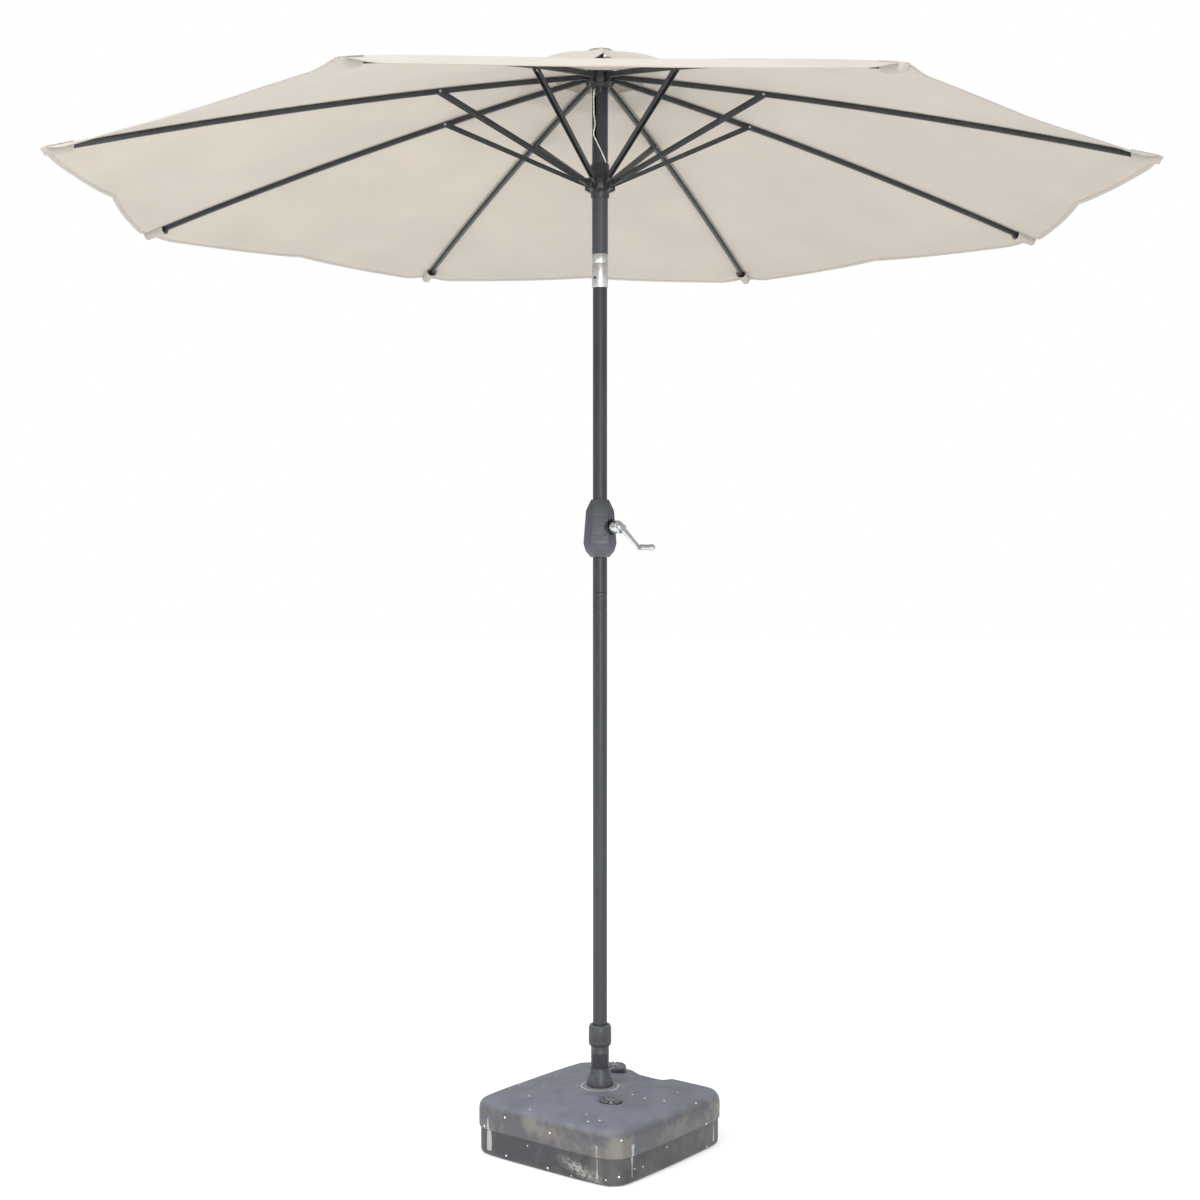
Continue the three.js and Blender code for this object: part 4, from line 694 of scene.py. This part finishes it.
stud = piece("grip_stud", put_on_crank(turned("grip_stud", [(0, 84), (3, 84), (3, 132), (0, 132)], 32)),
             chrome,
             "crank")
stud.data.transform(Matrix.Translation(crank_place.to_3x3() @ Vector((64 * MM, 0, 0))))
# The hinge that lets the arm fold against its boss shows as a bright barrel across the root.
barrel = bmesh.new()
bmesh.ops.create_cone(barrel, cap_ends=True, segments=40, radius1=7 * MM, radius2=7 * MM, depth=19.6 * MM)
bmesh.ops.rotate(barrel, verts=barrel.verts, cent=(0, 0, 0), matrix=Matrix.Rotation(math.radians(90), 3, "X"))
bmesh.ops.translate(barrel, vec=(6 * MM, 0, 69 * MM), verts=barrel.verts)
barrel_piece = piece("crank_hinge", put_on_crank(from_bmesh("crank_hinge", barrel)), chrome, "crank")
soften(barrel_piece, 1.4)
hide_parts("crank_arm")
keep_node("crank_grip", chrome, bevel=1.0, segments=4)


# ---------------------------------------------------------------------------------------------------
# Tilt knuckle: two machined aluminium castings joined by a steel pin, with a sprung black button.
# ---------------------------------------------------------------------------------------------------
# Cast aluminium, turned and left bare: bright satin with fine rings and small nicks.
def turned_aluminium():
    made, tree = new_material("turned_cast_aluminium")
    place = add(tree, "TexCoord", {}, {}).outputs["Object"]
    rings = add(tree, "TexNoise", {}, {
        "Vector": add(tree, "Mapping", {}, {"Vector": place, "Scale": (0.03, 0.03, 1.0)}).outputs[0],
        "Scale": 1 / (0.8 * MM), "Detail": 3.0})
    blotch = add(tree, "TexNoise", {}, {"Vector": place, "Scale": 1 / (7 * MM), "Detail": 5.0,
                                        "Roughness": 0.7})
    share = add(tree, "MapRange", {}, {"Value": blotch.outputs["Fac"], "From Min": 0.35, "From Max": 0.7})
    colour = add(tree, "Mix", {"data_type": "RGBA"},
                 {0: share.outputs[0], 6: linear("#dfe0e2"), 7: linear("#a9acb0")})
    roughness = add(tree, "MapRange", {}, {"Value": share.outputs[0], "To Min": 0.26, "To Max": 0.46})
    bump = add(tree, "Bump", {}, {"Height": rings.outputs["Fac"], "Strength": 0.3, "Distance": 0.1 * MM})
    shader = add(tree, "BsdfPrincipled", {}, {"Base Color": colour.outputs[2], "Metallic": 1.0,
                                             "Roughness": roughness.outputs[0],
                                             "Normal": bump.outputs["Normal"]})
    add(tree, "OutputMaterial", {}, {"Surface": shader.outputs[0]})
    return made


aluminium = turned_aluminium()
keep_node("tilt_knuckle_lower", aluminium, bevel=0.5)
keep_node("tilt_knuckle_upper", aluminium, bevel=0.5)
keep_node("tilt_pin", zinc)
keep_node("button_spring", zinc)
hub_plastic = moulded_polypropylene("moulded_nylon", "#232529", "#4c5057", 0.4)
keep_node("tilt_button", hub_plastic, bevel=0.5, segments=3)


# ---------------------------------------------------------------------------------------------------
# Crown and runner: nylon mouldings. Ribs hinge on a wire ring in the crown hub, struts on the runner that
# slides on the pole, and the crown cap clamps the cloth down.
# ---------------------------------------------------------------------------------------------------
keep_node("crown_hub", hub_plastic, bevel=0.5)
crown_plastic = moulded_polypropylene("moulded_polypropylene_crown", "#dcd7ce", "#bdb8ae", 0.5)
keep_node("crown_cap", crown_plastic, bevel=0.8, segments=3)
keep_node("runner", hub_plastic, bevel=0.5)
keep_node("crown_ring", zinc)
keep_node("crown_pulley", zinc)


# ---------------------------------------------------------------------------------------------------
# Ribs and struts: roll-formed steel tube and channel, powder coated, riveted where a strut meets a rib.
# ---------------------------------------------------------------------------------------------------
rib_paint = powder_coated_steel("anthracite_powder_coat_on_rib_steel", "#26282c", "#33363b", 0.36)
RIVET_HEAD = 3.7
RIVET_OUT = 7.0
for number in range(1, 9):
    keep_node(f"rib_{number}", rib_paint, bevel=0.45, segments=2)
    keep_node(f"strut_{number}", rib_paint, bevel=0.5)
    keep_node(f"rib_tip_{number}", hub_plastic, bevel=0.8)
    # The rivet's two bare zinc heads, where the strut straddles the rib.
    heads = bmesh.new()
    for side in (-1, 1):
        dome = bmesh.ops.create_uvsphere(heads, u_segments=20, v_segments=10, radius=RIVET_HEAD * MM)["verts"]
        bmesh.ops.scale(heads, vec=(1, 0.42, 1), verts=dome)
        bmesh.ops.translate(heads, vec=Vector((411, side * RIVET_OUT, 2511.1)) * MM, verts=dome)
    bmesh.ops.rotate(heads, verts=heads.verts, cent=(0, 0, 0),
                     matrix=Matrix.Rotation(math.radians(-110.5 + 45 * (number - 1)), 3, "Z"))
    piece(f"rivet_heads_{number}", from_bmesh("rivet_heads", heads), zinc, f"strut_{number}")


# ---------------------------------------------------------------------------------------------------
# Canopy: woven polyester cut in gores and sewn along the ribs, with a hemmed edge, a pocket over each rib
# end and a raised vent cap on top. Each petal is the half gore on either side of a rib.
# ---------------------------------------------------------------------------------------------------
RIB_YAW = 2
PIVOT_OUT = 30
CROWN_HEIGHT = 2588
TIP_OUT = 1300
TIP_HEIGHT = 2287
RIB_BOW = 16
RIB_LENGTH = 1305
RIB_TOP = 8.1  # underside of the cloth over a rib's middle line
VENT_START = 0.067
SCALLOP = 32 / 1270
VENT_REACH = 192 / 1270
VENT_RIB_LIFT = 5
VENT_MID_LIFT = 33
VENT_INNER = 24
VENT_TOP = 2649.5
HALF_GORE = math.radians(22.5)
SAG = 3  # the cloth sinks a little between ribs
HEM_DROOP = 10.5  # and its edge, which nothing stretches, turns down beside the ribs
TAPE_HALF = 11


# Woven polyester: a dry, even plain weave that lets part of the daylight through. Its threads are far
# finer than can be seen, so the weave is drawn at 2.4 mm.
def woven_polyester(name, pale, deep, through):
    made, tree = new_material(name)
    sewn = add(tree, "UVMap", {"uv_map": "cloth"}, {}).outputs["UV"]
    place = add(tree, "TexCoord", {}, {}).outputs["Object"]
    warp = add(tree, "TexWave", {"wave_type": "BANDS", "bands_direction": "X"},
               {"Vector": sewn, "Scale": 1 / (2.4 * MM) / 6.283 * 2, "Distortion": 0.0})
    weft = add(tree, "TexWave", {"wave_type": "BANDS", "bands_direction": "Y"},
               {"Vector": sewn, "Scale": 1 / (2.4 * MM) / 6.283 * 2, "Distortion": 0.0})
    weave = add(tree, "Math", {"operation": "MULTIPLY"}, {0: warp.outputs["Fac"], 1: weft.outputs["Fac"]})
    cloud = add(tree, "TexNoise", {}, {"Vector": place, "Scale": 1 / (260 * MM), "Detail": 5.0,
                                       "Roughness": 0.6})
    tone = add(tree, "MapRange", {}, {"Value": cloud.outputs["Fac"], "From Min": 0.3, "From Max": 0.7})
    shade = add(tree, "Mix", {"data_type": "RGBA"}, {0: tone.outputs[0], 6: linear(pale), 7: linear(deep)})
    thread = add(tree, "MapRange", {}, {"Value": weave.outputs[0], "To Min": 0.955, "To Max": 1.0})
    colour = add(tree, "Mix", {"data_type": "RGBA", "blend_type": "MULTIPLY"},
                 {0: 1.0, 6: shade.outputs[2], 7: thread.outputs[0]})
    bump = add(tree, "Bump", {}, {"Height": weave.outputs[0], "Strength": 0.15, "Distance": 0.2 * MM})
    cloth = add(tree, "BsdfPrincipled", {}, {"Base Color": colour.outputs[2], "Roughness": 0.85, "IOR": 1.45,
                                            "Sheen Weight": 0.15, "Normal": bump.outputs["Normal"]})
    glow = add(tree, "BsdfTranslucent", {}, {"Color": colour.outputs[2], "Normal": bump.outputs["Normal"]})
    both = add(tree, "MixShader", {}, {0: through, 1: cloth.outputs[0], 2: glow.outputs[0]})
    add(tree, "OutputMaterial", {}, {"Surface": both.outputs[0]})
    return made


def rib_line(share):
    """A point on a rib's middle line, outwards and up, in millimetres."""
    return (PIVOT_OUT + (TIP_OUT - PIVOT_OUT) * share,
            CROWN_HEIGHT - (CROWN_HEIGHT - TIP_HEIGHT) * share + 4 * RIB_BOW * share * (1 - share))


def main_cloth(share, across):
    """The main cloth's underside: share runs down the rib, across from one mid gore (-1) to the other (1)."""
    reach, height = rib_line(share)
    side = reach * math.cos(HALF_GORE) * across
    sink = SAG * smoothstep((share - 0.1) / 0.4) * math.sin(math.pi / 2 * across) ** 2
    sink += HEM_DROOP * smoothstep((share - 0.925) / 0.06) * smoothstep(abs(across) / 0.15)
    return Vector((reach * (1 - abs(across) * math.sin(HALF_GORE) ** 2), side * math.sin(HALF_GORE),
                   height + RIB_TOP - sink))


def hem_share(across):
    """How far down the rib the hem is: it curves in between the ribs."""
    return 1 - SCALLOP * across ** 2


def vent_cloth(share, across):
    """The vent cap's underside: share runs from under the crown cap out to its hem."""
    hem = main_cloth(VENT_REACH, across)
    lift = VENT_RIB_LIFT + (VENT_MID_LIFT - VENT_RIB_LIFT) * across ** 2
    far = hem.xy.length
    inner = VENT_INNER / far
    scale = inner + (1 - inner) * share
    reach = VENT_INNER + (far - VENT_INNER) * share
    angle = math.atan2(hem.y, hem.x)
    return Vector((reach * math.cos(angle), reach * math.sin(angle),
                   VENT_TOP - 2 - (VENT_TOP - 2 - hem.z - lift) * scale ** 1.8))


def sewn_sheet(name, surface, azimuth, columns, rows, low, high, lift=0.0, spread=1.0):
    """A cloth strip or panel on a surface. low and high give its first and last share at each place across."""
    bm = bmesh.new()
    bmesh.ops.create_grid(bm, x_segments=columns, y_segments=rows, size=0.5)
    uv = bm.loops.layers.uv.new("cloth")
    places = {}
    for vert in bm.verts:
        across = 2 * vert.co.x * spread
        along = vert.co.y + 0.5
        start, end = low(across), high(across)
        spot = surface(start + (end - start) * along, across)
        spot.z += lift
        places[vert] = spot * MM
    for face in bm.faces:
        for loop in face.loops:
            loop[uv].uv = places[loop.vert].yx
    for vert, spot in places.items():
        vert.co = spot
    bmesh.ops.rotate(bm, verts=bm.verts, cent=(0, 0, 0), matrix=Matrix.Rotation(math.radians(azimuth), 3,
                                                                                "Z"))
    return bm


def seam_tape(share, across):
    """The tape sewn under the cloth along a rib, the same width all the way down."""
    reach = rib_line(share)[0] * math.sin(HALF_GORE) * math.cos(HALF_GORE)
    return main_cloth(share, across * TAPE_HALF / reach)


def tip_pocket(share, across):
    """The bag sewn under the hem that a rib's end slips into: share runs from its mouth to its closed end."""
    down_rib = 1 - (POCKET_LENGTH * (1 - share) - 3) / RIB_LENGTH
    reach, height = rib_line(down_rib)
    shut = smoothstep((share - 0.84) / 0.16)
    width = (16 - 5 * share) * (1 - 0.6 * shut)
    depth = (RIB_TOP + 14 - 4 * share) * (1 - 0.9 * shut)
    turn = math.pi / 2 * across
    return Vector((reach, width * math.sin(turn), height + RIB_TOP - 0.3 - depth * max(math.cos(turn),
                                                                                       0) ** 0.7))


def thicken(made, thickness):
    wall = made.modifiers.new("cloth", "SOLIDIFY")
    wall.thickness = thickness * MM
    wall.offset = 1.0
    # The cut edge is turned sharply, so that two panels meet without a shaded line.
    fold = made.modifiers.new("cut_edge", "EDGE_SPLIT")
    fold.split_angle = math.radians(50)
    return made


canopy_cloth = woven_polyester("woven_polyester_canopy", "#d3ccc3", "#ccc5bc", 0.40)
# The hems, pockets and vent hems are the canopy's polyester drawn darker: the darker tone is painted shade,
# where the folded layers let less light through.
hem_cloth_painted_shade = woven_polyester("woven_polyester_hem_painted_shade", "#c2bbb2", "#bab3aa", 0.22)
# The seam tape is the canopy's polyester drawn darker: the darker tone is painted shade, where the doubled
# cloth over a rib lets less light through.
tape_cloth_painted_shade = woven_polyester("woven_polyester_seam_tape_painted_shade", "#a6a199", "#9c978f", 0.12)
# The vent cap is the canopy's polyester drawn paler: the paler tone is painted light, for the daylight that
# shines through it.
vent_cloth_painted_light = woven_polyester("woven_polyester_vent_cap_painted_light", "#dbd6ce", "#d3cdc4", 0.5)
HEM = 11 / RIB_LENGTH
POCKET_LENGTH = 68
for number in range(1, 9):
    azimuth = -112.5 + RIB_YAW + 45 * (number - 1)
    body = f"rib_{number}"

    def cloth_piece(name, bm, material, thickness, folds=True):
        made = piece(name, from_bmesh(name, bm), material, body)
        thicken(made, thickness)
        if folds:
            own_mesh(made)
        return made

    panel = sewn_sheet("panel", main_cloth, azimuth, 40, 84, lambda a: VENT_START, hem_share)
    panel_area = sum(f.calc_area() for f in panel.faces)
    main = cloth_piece(f"canopy_panel_{number}", panel, canopy_cloth, 0.6)
    edge = cloth_piece(f"canopy_hem_{number}",
                       sewn_sheet("hem", main_cloth, azimuth, 40, 3, lambda a: hem_share(a) - HEM, hem_share,
                                  lift=-0.7), hem_cloth_painted_shade, 0.65)
    tape = cloth_piece(f"canopy_seam_{number}",
                       sewn_sheet("seam", seam_tape, azimuth, 4, 60, lambda a: VENT_START, lambda a: 0.995,
                                  lift=-0.9), tape_cloth_painted_shade, 0.85, folds=False)
    pocket = cloth_piece(f"canopy_pocket_{number}",
                         sewn_sheet("pocket", tip_pocket, azimuth, 14, 16, lambda a: 0.0, lambda a: 1.0),
                         hem_cloth_painted_shade, 0.8, folds=False)
    opening = cloth_piece(f"vent_opening_hem_{number}",
                          sewn_sheet("opening", main_cloth, azimuth, 28, 2, lambda a: VENT_START,
                                     lambda a: VENT_START + HEM, lift=-0.7), hem_cloth_painted_shade, 0.65)
    cap = sewn_sheet("cap", vent_cloth, azimuth, 28, 24, lambda a: 0.0, lambda a: 1.0)
    cap_area = sum(f.calc_area() for f in cap.faces)
    vent = cloth_piece(f"vent_panel_{number}", cap, vent_cloth_painted_light, 0.6)
    vent_edge = cloth_piece(f"vent_hem_{number}",
                            sewn_sheet("vent_hem", vent_cloth, azimuth, 28, 2, lambda a: 0.955, lambda a: 1.0,
                                       lift=-0.7), hem_cloth_painted_shade, 0.65)
    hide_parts(f"canopy_petal_{number}")

# ---------------------------------------------------------------------------------------------------
# Studio: a plain pale floor, an even white surround and soft lamps.
# ---------------------------------------------------------------------------------------------------
bm = bmesh.new()
bmesh.ops.create_grid(bm, x_segments=1, y_segments=1, size=30.0)
floor_finish, tree = new_material("pale_floor")
shader = add(tree, "BsdfPrincipled", {}, {"Base Color": linear("#f4f4f3"), "Roughness": 0.9,
                                         "Emission Color": linear("#ffffff"), "Emission Strength": 0.42})
add(tree, "OutputMaterial", {}, {"Surface": shader.outputs[0]})
floor_mesh = from_bmesh("floor", bm)
floor_mesh.materials.append(floor_finish)
floor = bpy.data.objects.new("floor", floor_mesh)
bpy.context.collection.objects.link(floor)

# The surround is white where it is seen, and lights the umbrella a little less than that.
world = bpy.data.worlds.new("studio")
bpy.context.scene.world = world
world.use_nodes = True
surround = world.node_tree
surround.nodes.clear()
seen = add(surround, "LightPath", {}, {}).outputs["Is Camera Ray"]
strength = add(surround, "MapRange", {}, {"Value": seen, "To Min": 0.66, "To Max": 1.0})
backdrop = add(surround, "Background", {}, {"Color": (1.0, 1.0, 1.0, 1.0), "Strength": strength.outputs[0]})
add(surround, "OutputWorld", {}, {"Surface": backdrop.outputs[0]})


def lamp(name, spot, aim, size, power):
    light = bpy.data.lights.new(name, "AREA")
    light.size = size
    light.energy = power
    made = bpy.data.objects.new(name, light)
    made.location = spot
    made.rotation_euler = (Vector(aim) - Vector(spot)).to_track_quat("-Z", "Y").to_euler()
    bpy.context.collection.objects.link(made)


lamp("high_soft", (-2.5, -3.0, 5.5), (0, 0, 1.6), 3.0, 220)
lamp("overhead", (0.0, 0.6, 7.0), (0, 0, 2.4), 4.0, 150)
lamp("front_fill", (0.9, -5.4, 1.5), (0, 0, 1.2), 1.8, 90)
bpy.context.scene.view_settings.view_transform = "Standard"
